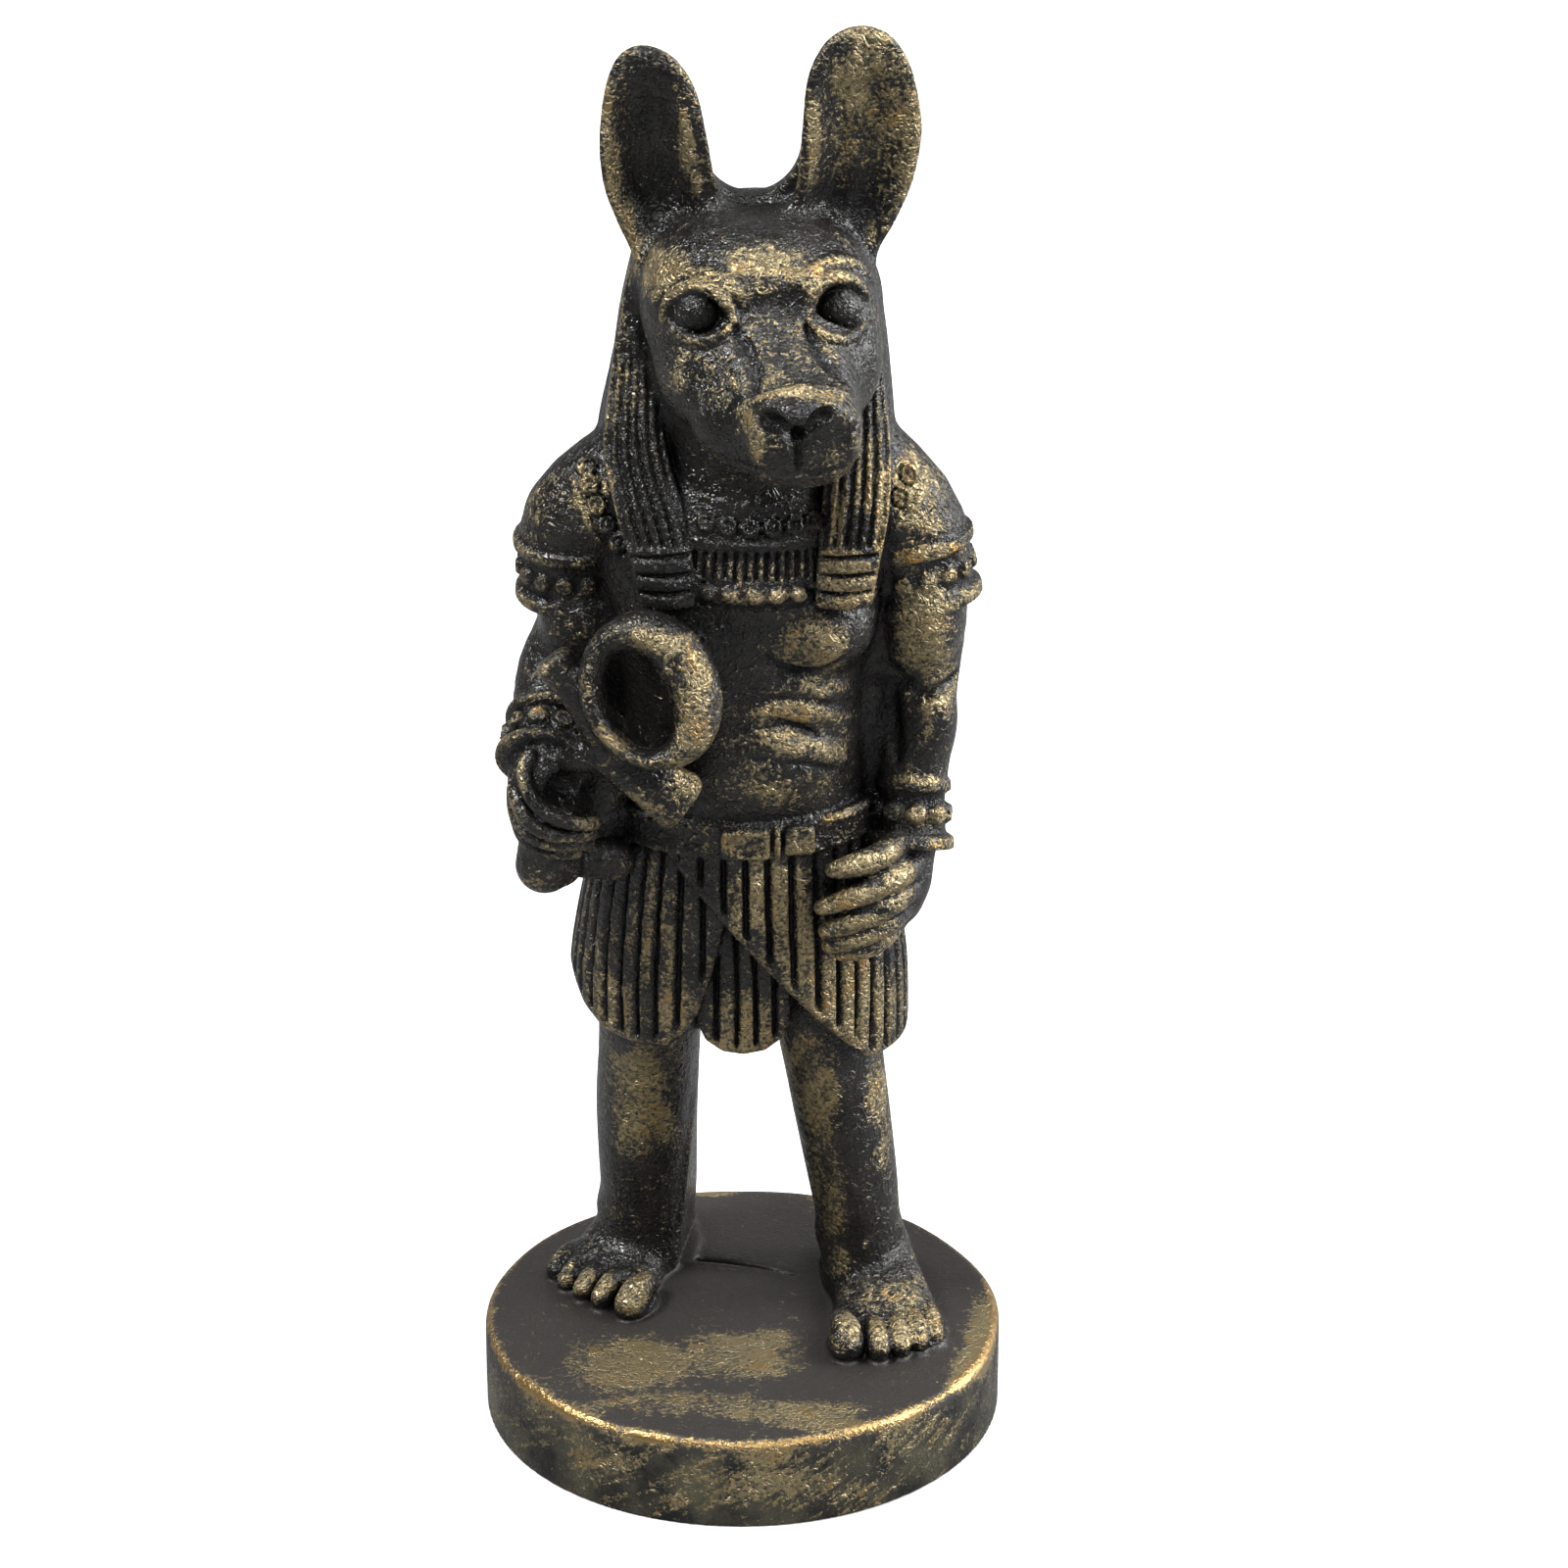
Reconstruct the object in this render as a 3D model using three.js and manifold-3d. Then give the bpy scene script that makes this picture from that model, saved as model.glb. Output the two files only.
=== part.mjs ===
// A small cast figurine of a jackal-headed god, standing on a round base.
// It is one casting: base, striding figure, headcloth and the looped cross in its right hand.
// Millimetres, +Z up, origin at the centre of the base's underside.
// The figure faces -Y, and its right hand is at -X.
import * as THREE from "three";
import { mergeVertices } from "three/addons/utils/BufferGeometryUtils.js";
import Module from "manifold-3d";

const wasm = await Module();
wasm.setup();

// Driving dimensions.
const baseDiameter = 43.5;
const baseHeight = 8;
const baseEdgeRadius = 0.9;
const figureHeight = 112; // from the base's top face to the tip of the taller ear

// The figure is a free form, drawn in parts of its own height, with z 0 at the base's top face.
const HEIGHT_PARTS = 112.3;
const partSize = figureHeight / HEIGHT_PARTS;

const BASE_SIDES = 40;
const EDGE_STEPS = 3;
const SUNK = 1.2; // how far the feet reach into the base

const FULL_TURN = 2 * Math.PI;
const vec = (x, y, z) => new THREE.Vector3(x, y, z);
const mix = THREE.MathUtils.lerp;
const radians = THREE.MathUtils.degToRad;
const evenly = (count, make) => Array.from({ length: count }, (_, i) => make(i, i / count));
const swell = (value, power) => Math.sign(value) * Math.abs(value) ** power;

// A closed geometry as a solid. Only its shared corners matter, so normals and uvs go.
function solid(geometry) {
  const bare = geometry.clone();
  bare.deleteAttribute("normal");
  bare.deleteAttribute("uv");
  const merged = mergeVertices(bare, 1e-4);
  return new wasm.Manifold(
    new wasm.Mesh({
      numProp: 3,
      vertProperties: merged.attributes.position.array,
      triVerts: new Uint32Array(merged.index.array),
    }),
  );
}

const join = (...solids) => solids.flat().reduce((whole, piece) => whole.add(piece));

// A closed surface from points and triangles, turned so that its faces point out.
function skin(points, faces) {
  const volume = (f) => points[faces[f]].dot(points[faces[f + 1]].clone().cross(points[faces[f + 2]]));
  let whole = 0;
  for (let f = 0; f < faces.length; f += 3) {
    whole += volume(f);
  }
  const geometry = new THREE.BufferGeometry().setFromPoints(points);
  geometry.setIndex(whole < 0 ? faces.slice().reverse() : faces);
  return solid(geometry);
}

// The two triangles of each cell between one ring of points and the next.
function ringCells(rings, sides, closed) {
  const faces = [];
  for (let r = 0; r < (closed ? rings : rings - 1); r += 1) {
    for (let i = 0; i < sides; i += 1) {
      const [near, far] = [r * sides, ((r + 1) % rings) * sides];
      const next = (i + 1) % sides;
      faces.push(near + i, near + next, far + next, near + i, far + next, far + i);
    }
  }
  return faces;
}

// A solid through rings of points, closed at both ends.
function loft(rings) {
  const sides = rings[0].length;
  const middle = (ring) => ring.reduce((sum, p) => sum.add(p), vec(0, 0, 0)).divideScalar(sides);
  const points = [...rings.flat(), middle(rings[0]), middle(rings.at(-1))];
  const faces = ringCells(rings.length, sides, false);
  const last = (rings.length - 1) * sides;
  for (let i = 0; i < sides; i += 1) {
    const next = (i + 1) % sides;
    faces.push(points.length - 2, next, i);
    faces.push(points.length - 1, last + i, last + next);
  }
  return skin(points, faces);
}

// Smooth values between rows of numbers: the first row at share 0, the last row at share 1.
function between(rows, share) {
  const place = share * (rows.length - 1);
  const i = Math.min(Math.floor(place), rows.length - 2);
  const t = place - i;
  const row = (k) => rows[THREE.MathUtils.clamp(k, 0, rows.length - 1)];
  return rows[i].map((_, k) => {
    const [p, q, r, s] = [row(i - 1)[k], row(i)[k], row(i + 1)[k], row(i + 2)[k]];
    return q + (t * (r - p + t * (2 * p - 5 * q + 4 * r - s + t * (3 * (q - r) + s - p)))) / 2;
  });
}

// An upright body through stations [z, x, y, half width, half depth].
// square under 1 makes the outline boxier, and shape(turn, z) scales it.
function column(stations, { sides = 20, steps = 8, square = 1, shape = () => 1, turns = null } = {}) {
  const around = turns ?? evenly(sides, (i, share) => share * FULL_TURN);
  const rings = evenly(steps + 1, (k) => {
    const [z, x, y, wide, deep] = between(stations, k / steps);
    return around.map((turn) => {
      const scale = shape(turn, z);
      return vec(x + wide * scale * swell(Math.cos(turn), square), y + deep * scale * swell(Math.sin(turn), square), z);
    });
  });
  return loft(rings);
}

// A round limb along a smooth path of stations [x, y, z, radius].
// A band round it has two rims and a sunk middle, and reaches from one share of the path to another.
const BAND_RIM = 0.22; // a rim's share of the band's width
const BAND_SINK = 0.45;
function limb(stations, { sides = 9, steps = 5, bands = [] } = {}) {
  const marks = evenly(steps + 1, (k) => ({ share: k / steps }));
  let shown = marks.filter(({ share }) => !bands.some(({ from, to }) => share > from - 0.02 && share < to + 0.02));
  for (const { from, to, radius } of bands) {
    const at = (share, wide) => ({ share: mix(from, to, share), radius: wide });
    const low = radius - BAND_SINK;
    shown.push(at(0), at(0, radius), at(BAND_RIM, radius), at(BAND_RIM, low));
    shown.push(at(1 - BAND_RIM, low), at(1 - BAND_RIM, radius), at(1, radius), at(1));
  }
  shown = shown.sort((a, b) => a.share - b.share);
  const place = (share) => vec(...between(stations, THREE.MathUtils.clamp(share, 0, 1)).slice(0, 3));
  const rings = shown.map(({ share, radius }) => {
    const along = place(share + 0.02).sub(place(share - 0.02)).normalize();
    const across = vec(0.3, 0.95, 0).cross(along).normalize();
    const up = along.clone().cross(across);
    const wide = radius ?? between(stations, share)[3];
    return evenly(sides, (i, turn) => {
      const out = across.clone().multiplyScalar(Math.cos(turn * FULL_TURN));
      return out.addScaledVector(up, Math.sin(turn * FULL_TURN)).multiplyScalar(wide).add(place(share));
    });
  });
  return loft(rings);
}

// An egg by its centre and half sizes, turned in degrees about X, then Y, then Z.
function egg(centre, halfSizes, { turnX = 0, turnY = 0, turnZ = 0, sides = 10, rows = 6 } = {}) {
  const geometry = new THREE.SphereGeometry(1, sides, rows);
  geometry.rotateX(Math.PI / 2).scale(...halfSizes);
  geometry.rotateX(radians(turnX)).rotateY(radians(turnY)).rotateZ(radians(turnZ));
  return solid(geometry.translate(...centre));
}

const bead = (centre, radius) => egg(centre, [radius, radius, radius], { sides: 5, rows: 3 });

// A flat plate with an outline of [x, z] points, thick along Y.
function plate(outline, yFront, yBack) {
  const shape = new THREE.Shape(outline.map(([x, z]) => new THREE.Vector2(x, z)));
  const geometry = new THREE.ExtrudeGeometry(shape, { depth: yBack - yFront, bevelEnabled: false });
  return solid(geometry.rotateX(Math.PI / 2).translate(0, yBack, 0));
}

// The base: a plain disc with a rounded top edge.
function base() {
  const radius = baseDiameter / 2;
  const profile = [new THREE.Vector2(0, 0), new THREE.Vector2(radius, 0)];
  for (let i = 0; i <= EDGE_STEPS; i += 1) {
    const turn = ((i / EDGE_STEPS) * Math.PI) / 2;
    const out = radius - baseEdgeRadius * (1 - Math.cos(turn));
    profile.push(new THREE.Vector2(out, baseHeight - baseEdgeRadius * (1 - Math.sin(turn))));
  }
  profile.push(new THREE.Vector2(0, baseHeight));
  return solid(new THREE.LatheGeometry(profile, BASE_SIDES).rotateX(Math.PI / 2));
}

// A foot from its heel to the root of its toes, by rows of [half width, height], with five toes in front.
const FOOT = [
  [2.6, 3.0],
  [3.5, 5.4],
  [3.8, 5.6],
  [4.3, 4.2],
  [4.7, 3.0],
  [4.3, 1.9],
];
const TOE_SPREAD = 0.93; // from one toe's middle to the next, in parts of their two half widths
function foot(heel, ball, side) {
  const along = vec(ball[0] - heel[0], ball[1] - heel[1], 0);
  const across = vec(along.y, -along.x, 0).normalize().multiplyScalar(side);
  const rings = FOOT.map(([wide, high], k) => {
    const middle = vec(heel[0], heel[1], 0).addScaledVector(along, k / (FOOT.length - 1));
    const half = (high + SUNK) / 2;
    return evenly(10, (i, share) => {
      const [c, s] = [Math.cos(share * FULL_TURN), Math.sin(share * FULL_TURN)];
      return middle.clone().addScaledVector(across, wide * swell(c, 0.8)).setZ(high - half + half * swell(s, 0.8));
    });
  });
  // Toes as [half width, how far it reaches past the ball, height], from the big one outwards.
  const toes = [
    [1.6, 1.5, 2.0],
    [1.0, 1.6, 1.6],
    [0.95, 1.1, 1.5],
    [0.9, 0.3, 1.4],
    [0.85, -0.9, 1.3],
  ];
  const ahead = along.clone().normalize();
  const turnZ = THREE.MathUtils.radToDeg(Math.atan2(ahead.y, ahead.x)) + 90;
  let place = -3.0;
  const made = toes.map(([wide, reach, high], k) => {
    if (k > 0) place += (toes[k - 1][0] + wide) * TOE_SPREAD;
    const centre = vec(ball[0], ball[1], high - 0.6);
    centre.addScaledVector(across, -place).addScaledVector(ahead, reach - 1.2);
    return egg(centre.toArray(), [wide, 2.3, high], { turnZ, sides: 6, rows: 4 });
  });
  return join(loft(rings), made);
}

// The legs. The right one has a flat web of casting behind it, down to the base.
function legs() {
  const right = [
    [1, -8.5, 9.8, 3.7, 4.4],
    [7, -8.6, 9.7, 3.6, 4.3],
    [14, -8.5, 9.0, 4.0, 4.6],
    [22, -7.8, 7.4, 4.1, 4.8],
    [30, -7.2, 6.3, 4.6, 5.4],
  ];
  const left = [
    [1, 10.1, 4.6, 3.6, 4.3],
    [7, 9.7, 4.5, 3.8, 4.3],
    [14, 8.5, 4.6, 4.2, 4.6],
    [22, 7.4, 5.2, 4.5, 4.8],
    [30, 6.5, 5.6, 5.0, 5.4],
  ];
  const rightWeb = [
    [-SUNK, -7.2, 11.4, 3.3, 4.3],
    [10, -7.0, 11.2, 3.3, 4.3],
    [28, -6.3, 9.8, 3.3, 4.6],
  ];
  const boxy = { sides: 8, steps: 2, square: 0.5 };
  return join(
    column(right, { sides: 11, steps: 4 }),
    column(left, { sides: 11, steps: 4 }),
    column(rightWeb, boxy),
    foot([-7.2, 13.0], [-12.1, 2.6], -1),
    foot([10.0, 8.4], [12.3, -6.9], 1),
  );
}

// The kilt, by its own outline. Its pleats are flat ridges between narrow grooves.
const KILT = [
  [25.4, -0.7, 5.7, 13.8, 10.0],
  [32, -0.7, 5.6, 13.9, 10.0],
  [39, -0.5, 5.2, 12.6, 9.4],
  [45.6, -0.1, 5.0, 11.3, 8.7],
];
const PLEATS = 36;
const PLEAT_DEPTH = 0.055; // a groove's depth as a share of the kilt's half width
const RIDGE_SHARE = 0.7; // a ridge's share of a pleat's width
const CLOTH = 0.92; // how far one layer of cloth stands over the next

// The turns of the kilt's outline: three for each pleat between two angles, and few elsewhere.
function pleatTurns(fromDegrees, toDegrees) {
  const turns = [];
  for (let i = 0; i < PLEATS; i += 1) {
    const start = i / PLEATS;
    const pleated = start * 360 >= fromDegrees && start * 360 < toDegrees;
    if (pleated) {
      const low = (start + (1 + RIDGE_SHARE) / 2 / PLEATS) * FULL_TURN;
      turns.push({ turn: start * FULL_TURN, scale: 1 });
      turns.push({ turn: (start + RIDGE_SHARE / PLEATS) * FULL_TURN, scale: 1 });
      turns.push({ turn: low, scale: 1 - PLEAT_DEPTH });
    } else if (i % 2 === 0) {
      turns.push({ turn: start * FULL_TURN, scale: 1 });
    }
  }
  return turns;
}

function pleatedCloth(grow, fromDegrees, toDegrees, lift = 0) {
  const marks = pleatTurns(fromDegrees, toDegrees);
  const scales = new Map(marks.map(({ turn, scale }) => [turn, scale]));
  const stations = KILT.map(([z, x, y, wide, deep], k) => [k ? z : z + lift, x, y, wide + grow, deep + grow]);
  return column(stations, { steps: 2, turns: marks.map(({ turn }) => turn), shape: (turn) => scales.get(turn) });
}

// Three layers meet in front: the wrap's upper end with its slanting fold, a rounded flap under it,
// and a tab that hangs between the two.
function kilt() {
  const front = -12;
  const upperEnd = [
    [-7.4, 46],
    [9.4, 25.4],
    [10.4, 24.4],
    [16, 24.4],
    [16, 46],
  ];
  const besideFlap = [
    [-0.4, 40],
    [-2.6, 31.5],
    [-4.0, 28.6],
    [-6.0, 26.8],
    [-6.6, 20],
    [9.0, 20],
    [13.0, 24],
    [9.0, 28],
  ];
  const tabOutline = [
    [-3.6, 42],
    [-3.6, 28.2],
    [-2.4, 26.6],
    [0.1, 26.0],
    [2.7, 26.6],
    [3.8, 28.2],
    [3.8, 42],
  ];
  // The hem rises towards the figure's right.
  const underHem = [
    [-20, 20],
    [-6.2, 20],
    [-6.2, 26.8],
    [-11.4, 27.3],
    [-14.0, 28.6],
    [-20, 31],
  ];
  const whole = pleatedCloth(0, 0, 268).subtract(plate(besideFlap, front, 3)).subtract(plate(underHem, front, 20));
  const upper = pleatedCloth(CLOTH, 225, 360).intersect(plate(upperEnd, front, 5.5));
  const tab = pleatedCloth(-CLOTH, 240, 300, -1).intersect(plate(tabOutline, front, 2));
  return join(whole, upper, tab);
}

function belt() {
  const ring = [
    [44.8, 0.1, 5.0, 11.7, 9.3],
    [47.5, 0.1, 5.0, 11.6, 9.2],
  ];
  const buckle = new THREE.BoxGeometry(3.4, 2, 2.5).translate(0.4, -4.0, 46.1);
  const keeper = new THREE.BoxGeometry(2.2, 2, 2.5).translate(3.6, -3.7, 46.1);
  return join(column(ring, { sides: 22, steps: 1 }), solid(buckle), solid(keeper));
}

// The bare trunk from the hips to the neck, with its chest and belly.
const TRUNK = [
  [44, 0, 5.0, 10.5, 8.4],
  [50, 0, 5.0, 10.5, 9.0],
  [56, 0.1, 5.0, 10.4, 8.6],
  [62, 0.2, 5.0, 11.2, 8.8],
  [68, 0.4, 5.2, 12.4, 9.2],
  [73, 0.6, 5.6, 11.6, 8.6],
  [77, 0.9, 5.8, 8.4, 7.2],
  [82, 1.2, 5.0, 6.4, 6.2],
];
const TRUNK_SIDES = 16;

// How far the flesh stands over the plain outline at a turn and height, as a share.
const hump = (value, middle, width) => Math.exp(-(((value - middle) / width) ** 2));
function flesh(turn, z) {
  const fromFront = Math.abs(THREE.MathUtils.radToDeg(turn) - 270);
  const chest = 0.09 * hump(fromFront, 34, 20) * hump(z, 63.5, 3.5);
  const belly = 0.06 * hump(fromFront, 0, 30) * hump(z, 51, 4.5);
  const ribs = 0.05 * hump(fromFront, 40, 25) * hump(z, 56.5, 2);
  return 1 + chest + belly - ribs;
}

function trunk() {
  return column(TRUNK, { sides: TRUNK_SIDES, steps: 9, shape: flesh });
}

// The broad collar: a skin over the chest above a sloping edge, with a row of beads along that edge.
const COLLAR = { thick: 0.8, front: -5.2, low: 67.2, slope: 53, bead: 0.75, pitch: 1.62 };
function collar() {
  const over = TRUNK.slice(3).map(([z, x, y, wide, deep]) => [z, x, y, wide + COLLAR.thick, deep + COLLAR.thick]);
  const below = new THREE.BoxGeometry(60, 90, 60).translate(0, 0, -30);
  below.rotateX(radians(COLLAR.slope)).translate(0, COLLAR.front, COLLAR.low);
  const cloth = column(over, { sides: TRUNK_SIDES, steps: 5 }).subtract(solid(below));
  const beads = [];
  const [, middle, back, wide, deep] = over[1];
  for (let i = -2; i <= 2; i += 1) {
    const x = 1.3 + i * COLLAR.pitch;
    const y = back - deep * Math.sqrt(1 - ((x - middle) / wide) ** 2);
    beads.push(bead([x, y + 0.3, COLLAR.low + 1.0], COLLAR.bead));
  }
  // The row runs on over each shoulder, along the outer edge of the lappet.
  for (const side of [-1, 1]) {
    for (let i = 0; i < 4; i += 1) {
      beads.push(bead([0.35 + side * (12.3 - i * 0.83), 2.9 - i * 0.75, 74.8 - i * 1.37], 0.9));
    }
  }
  return join(cloth, beads);
}

// The left arm hangs down with its hand on the kilt. The right is bent to hold the cross out in front.
const LEFT_ARM = [
  [8.0, 6.8, 75.4, 5.2],
  [13.0, 6.0, 69.6, 5.0],
  [14.3, 5.6, 63.0, 4.0],
  [14.4, 5.2, 56.5, 3.5],
  [14.0, 4.0, 50.5, 3.1],
  [13.6, 2.2, 45.5, 2.7],
  [12.8, 0.8, 40.5, 2.5],
];
const RIGHT_ARM = [
  [-7.4, 6.8, 74.4, 5.0],
  [-12.8, 6.0, 69.4, 5.0],
  [-12.8, 6.2, 62.0, 3.6],
  [-14.5, 4.6, 57.0, 4.0],
  [-15.4, -0.4, 54.2, 3.1],
  [-15.5, -4.2, 51.6, 2.8],
];
// An armlet and a bracelet on each arm.
const LEFT_BANDS = [
  { from: 0.18, to: 0.31, radius: 5.2 },
  { from: 0.74, to: 0.9, radius: 3.4 },
];
const RIGHT_BANDS = [
  { from: 0.21, to: 0.34, radius: 5.2 },
  { from: 0.73, to: 0.9, radius: 3.7 },
];
function arms() {
  // The casting is filled between each upper arm and the side.
  const fill = (side) =>
    column(
      [
        [46, side * 10.4, 6.4, 2.6, 4.0],
        [70, side * 9.6, 6.4, 4.0, 5.0],
      ],
      { sides: 8, steps: 1 },
    );
  return join(
    limb(LEFT_ARM, { sides: 10, steps: 9, bands: LEFT_BANDS }),
    limb(RIGHT_ARM, { sides: 10, steps: 9, bands: RIGHT_BANDS }),
    fill(1),
    fill(-1),
  );
}

// The left hand lies on the kilt with its fingers bent round to the front.
function leftHand() {
  const fingers = [
    [[12.6, -0.8, 43.8, 1.2], [10.6, -3.6, 43.8, 1.2], [7.2, -4.9, 44.0, 0.9]],
    [[13.2, -0.4, 42.0, 1.2], [10.6, -4.1, 41.4, 1.15], [6.3, -5.4, 40.4, 0.85]],
    [[13.2, -0.2, 40.3, 1.2], [10.7, -4.2, 39.5, 1.15], [6.5, -5.5, 38.5, 0.85]],
    [[12.9, 0.0, 38.7, 1.1], [10.8, -4.0, 37.7, 1.05], [7.2, -5.4, 36.8, 0.8]],
    [[12.4, 0.2, 37.3, 1.0], [10.8, -3.6, 36.1, 1.0], [8.4, -5.0, 35.4, 0.75]],
  ];
  return join(
    egg([12.3, 0.4, 40.6], [2.4, 3.0, 4.2], { sides: 8, rows: 5 }),
    fingers.map((stations) => limb(stations, { sides: 5, steps: 3 })),
  );
}

// The right fist: four fingers curled round the cross's stem, one over another.
const FIST = { x: -15.2, y: -5.2, z: 50.3, radius: 2.8, finger: 0.95, pitch: 1.55 };
function rightFist() {
  const curls = evenly(4, (i) => {
    const z = FIST.z + (1.5 - i) * FIST.pitch;
    const stations = [150, 195, 240, 285, 330].map((degrees) => [
      FIST.x + FIST.radius * Math.cos(radians(degrees)),
      FIST.y + FIST.radius * Math.sin(radians(degrees)),
      z - 0.3 * Math.cos(radians(degrees)),
      FIST.finger,
    ]);
    return limb(stations, { sides: 5, steps: 3 });
  });
  const palm = egg([FIST.x + 0.9, FIST.y + 1.4, FIST.z - 0.3], [4.2, 3.8, 3.9], { sides: 8, rows: 5 });
  const wide = FIST.radius + 0.2;
  const coreStations = [
    [FIST.z - 2.1 * FIST.pitch, FIST.x, FIST.y, wide, wide],
    [FIST.z + 2.1 * FIST.pitch, FIST.x, FIST.y, wide, wide],
  ];
  const core = column(coreStations, { sides: 9, steps: 1 });
  return join(palm, core, curls);
}

// The looped cross: a thick loop round an egg-shaped eye, two flared arms and a stem down through the fist.
const LOOP = { halfWide: 5.7, halfHigh: 6.3, eyeWide: 2.3, eyeHigh: 3.8, eyeShift: -1.1, thick: 2.2 };
function crossLoop() {
  const turns = 16;
  const sides = 6;
  const placed = new THREE.Matrix4().makeTranslation(-6.8, -7.8, 61.2);
  placed.multiply(new THREE.Matrix4().makeRotationX(radians(-18)));
  placed.multiply(new THREE.Matrix4().makeRotationY(radians(14)));
  const rings = evenly(turns, (k, along) => {
    const [c, s] = [Math.cos(along * FULL_TURN), Math.sin(along * FULL_TURN)];
    return evenly(sides, (i, round) => {
      const share = (1 + Math.cos(round * FULL_TURN)) / 2;
      const wide = mix(LOOP.eyeShift + LOOP.eyeWide * c, LOOP.halfWide * c, share);
      const high = mix(LOOP.eyeHigh * s, LOOP.halfHigh * s, share);
      return vec(wide, -LOOP.thick * Math.sin(round * FULL_TURN), high).applyMatrix4(placed);
    });
  });
  return skin(rings.flat(), ringCells(turns, sides, true));
}

function loopedCross() {
  const crossArm = (tip) => {
    const root = [-10.0, -6.6, 55.8];
    const half = root.map((value, k) => (value + tip[k]) / 2);
    return limb([[...root, 1.7], [...half, 1.8], [...tip, 2.3]], { sides: 6, steps: 2 });
  };
  const stem = limb(
    [
      [-15.2, -5.2, 42.8, 2.0],
      [-15.0, -5.2, 45.2, 2.7],
      [-15.2, -5.2, 50.4, 1.6],
      [-13.4, -6.2, 54.0, 1.6],
      [-9.4, -7.2, 57.2, 2.0],
    ],
    { sides: 7, steps: 5 },
  );
  return join(crossLoop(), crossArm([-15.6, -5.4, 60.4]), crossArm([-4.9, -6.0, 51.8]), stem);
}

// The headcloth: a mass behind the head that falls to the shoulders.
const HEADCLOTH = [
  [66, 0.3, 8.6, 11.8, 7.2],
  [72, 0.4, 8.4, 12.4, 7.8],
  [78, 0.5, 7.8, 12.0, 8.2],
  [83, 0.8, 7.2, 11.3, 8.2],
  [87.5, 1.0, 6.9, 10.6, 7.8],
  [92, 1.1, 6.8, 9.6, 6.8],
  [97.0, 1.3, 6.8, 5.2, 4.2],
];

// A lappet of the headcloth: a strip with lengthwise grooves, ending in cross bands.
const STRIPES = 5;
function lappet(side) {
  // Stations of [x from the middle, y, z, half width, the middle's own x].
  const stations = [
    [7.4, -4.6, 70.4, 2.5, 1.25],
    [8.2, -3.6, 74.5, 2.7, 1.0],
    [8.9, -1.4, 79.0, 2.5, 0.6],
    [8.8, 0.8, 83.5, 1.9, 0.6],
    [8.4, 2.4, 88.5, 1.0, 0.8],
  ];
  const marks = evenly(STRIPES, (i) =>
    [0, 0.7, 0.85].map((share, k) => ({ across: (i + share) / STRIPES, sunk: k === 2 ? 0.55 : 0 })),
  ).flat();
  marks.push({ across: 1, sunk: 0 });
  const ring = ([x, y, z, half, origin]) => {
    const middle = origin + side * x;
    const front = marks.map((mark) => {
      const place = 2 * mark.across - 1;
      return vec(middle + place * half, y + 0.7 * place ** 2 + mark.sunk, z);
    });
    return [...front, vec(middle + half, y + 4, z + 1), vec(middle - half, y + 4, z + 1)];
  };
  const steps = 4;
  return loft(evenly(steps + 1, (k) => ring(between(stations, k / steps))));
}

// The cross bands at a lappet's end: three flat ridges.
const BAND_ROWS = 3;
const LAPPET_MIDDLE = 1.25;
function lappetEnd(side) {
  const high = 1.25;
  const rings = [];
  for (let i = 0; i < BAND_ROWS; i += 1) {
    for (const [share, sunk] of [
      [0, 0],
      [0.72, 0],
      [0.86, 0.45],
    ]) {
      const z = 67.0 + (i + share) * high;
      const middle = LAPPET_MIDDLE + side * (6.9 + (i + share) * 0.15);
      const half = 2.3 + (i + share) * 0.06 - sunk * 0.5;
      const front = -4.9 + sunk;
      rings.push([
        vec(middle - half, front + 0.4, z),
        vec(middle + half, front + 0.4, z),
        vec(middle + half, 0, z),
        vec(middle - half, 0, z),
      ]);
    }
  }
  return loft(rings);
}

// The head, in a frame of its own: forward along the muzzle, right and up.
const HEAD = { x: 1.2, y: 3.2, z: 91.0, turn: 13 };
function headPoint(forward, right, up) {
  const turn = radians(HEAD.turn);
  return [
    HEAD.x + forward * Math.sin(turn) + right * Math.cos(turn),
    HEAD.y - forward * Math.cos(turn) + right * Math.sin(turn),
    HEAD.z + up,
  ];
}

// Stations of [forward, up, half width, half height], from the back of the skull to the nose.
const SKULL = [
  [-7.0, 0.4, 5.4, 4.6],
  [-3.5, -0.2, 8.6, 6.7],
  [1.0, -0.9, 9.4, 7.6],
  [5.0, -1.7, 9.0, 7.8],
  [8.4, -2.9, 7.8, 7.3],
  [11.4, -4.8, 6.0, 5.9],
  [14.4, -6.1, 5.0, 4.9],
  [17.2, -6.7, 4.5, 4.3],
  [18.4, -6.8, 3.5, 3.4],
];
function skull() {
  const steps = 9;
  const rings = evenly(steps + 1, (k) => {
    const [forward, up, wide, high] = between(SKULL, k / steps);
    return evenly(14, (i, share) => {
      const [c, s] = [Math.cos(share * FULL_TURN), Math.sin(share * FULL_TURN)];
      return vec(...headPoint(forward, wide * swell(c, 0.85), up + high * swell(s, 0.85)));
    });
  });
  return loft(rings);
}

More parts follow.
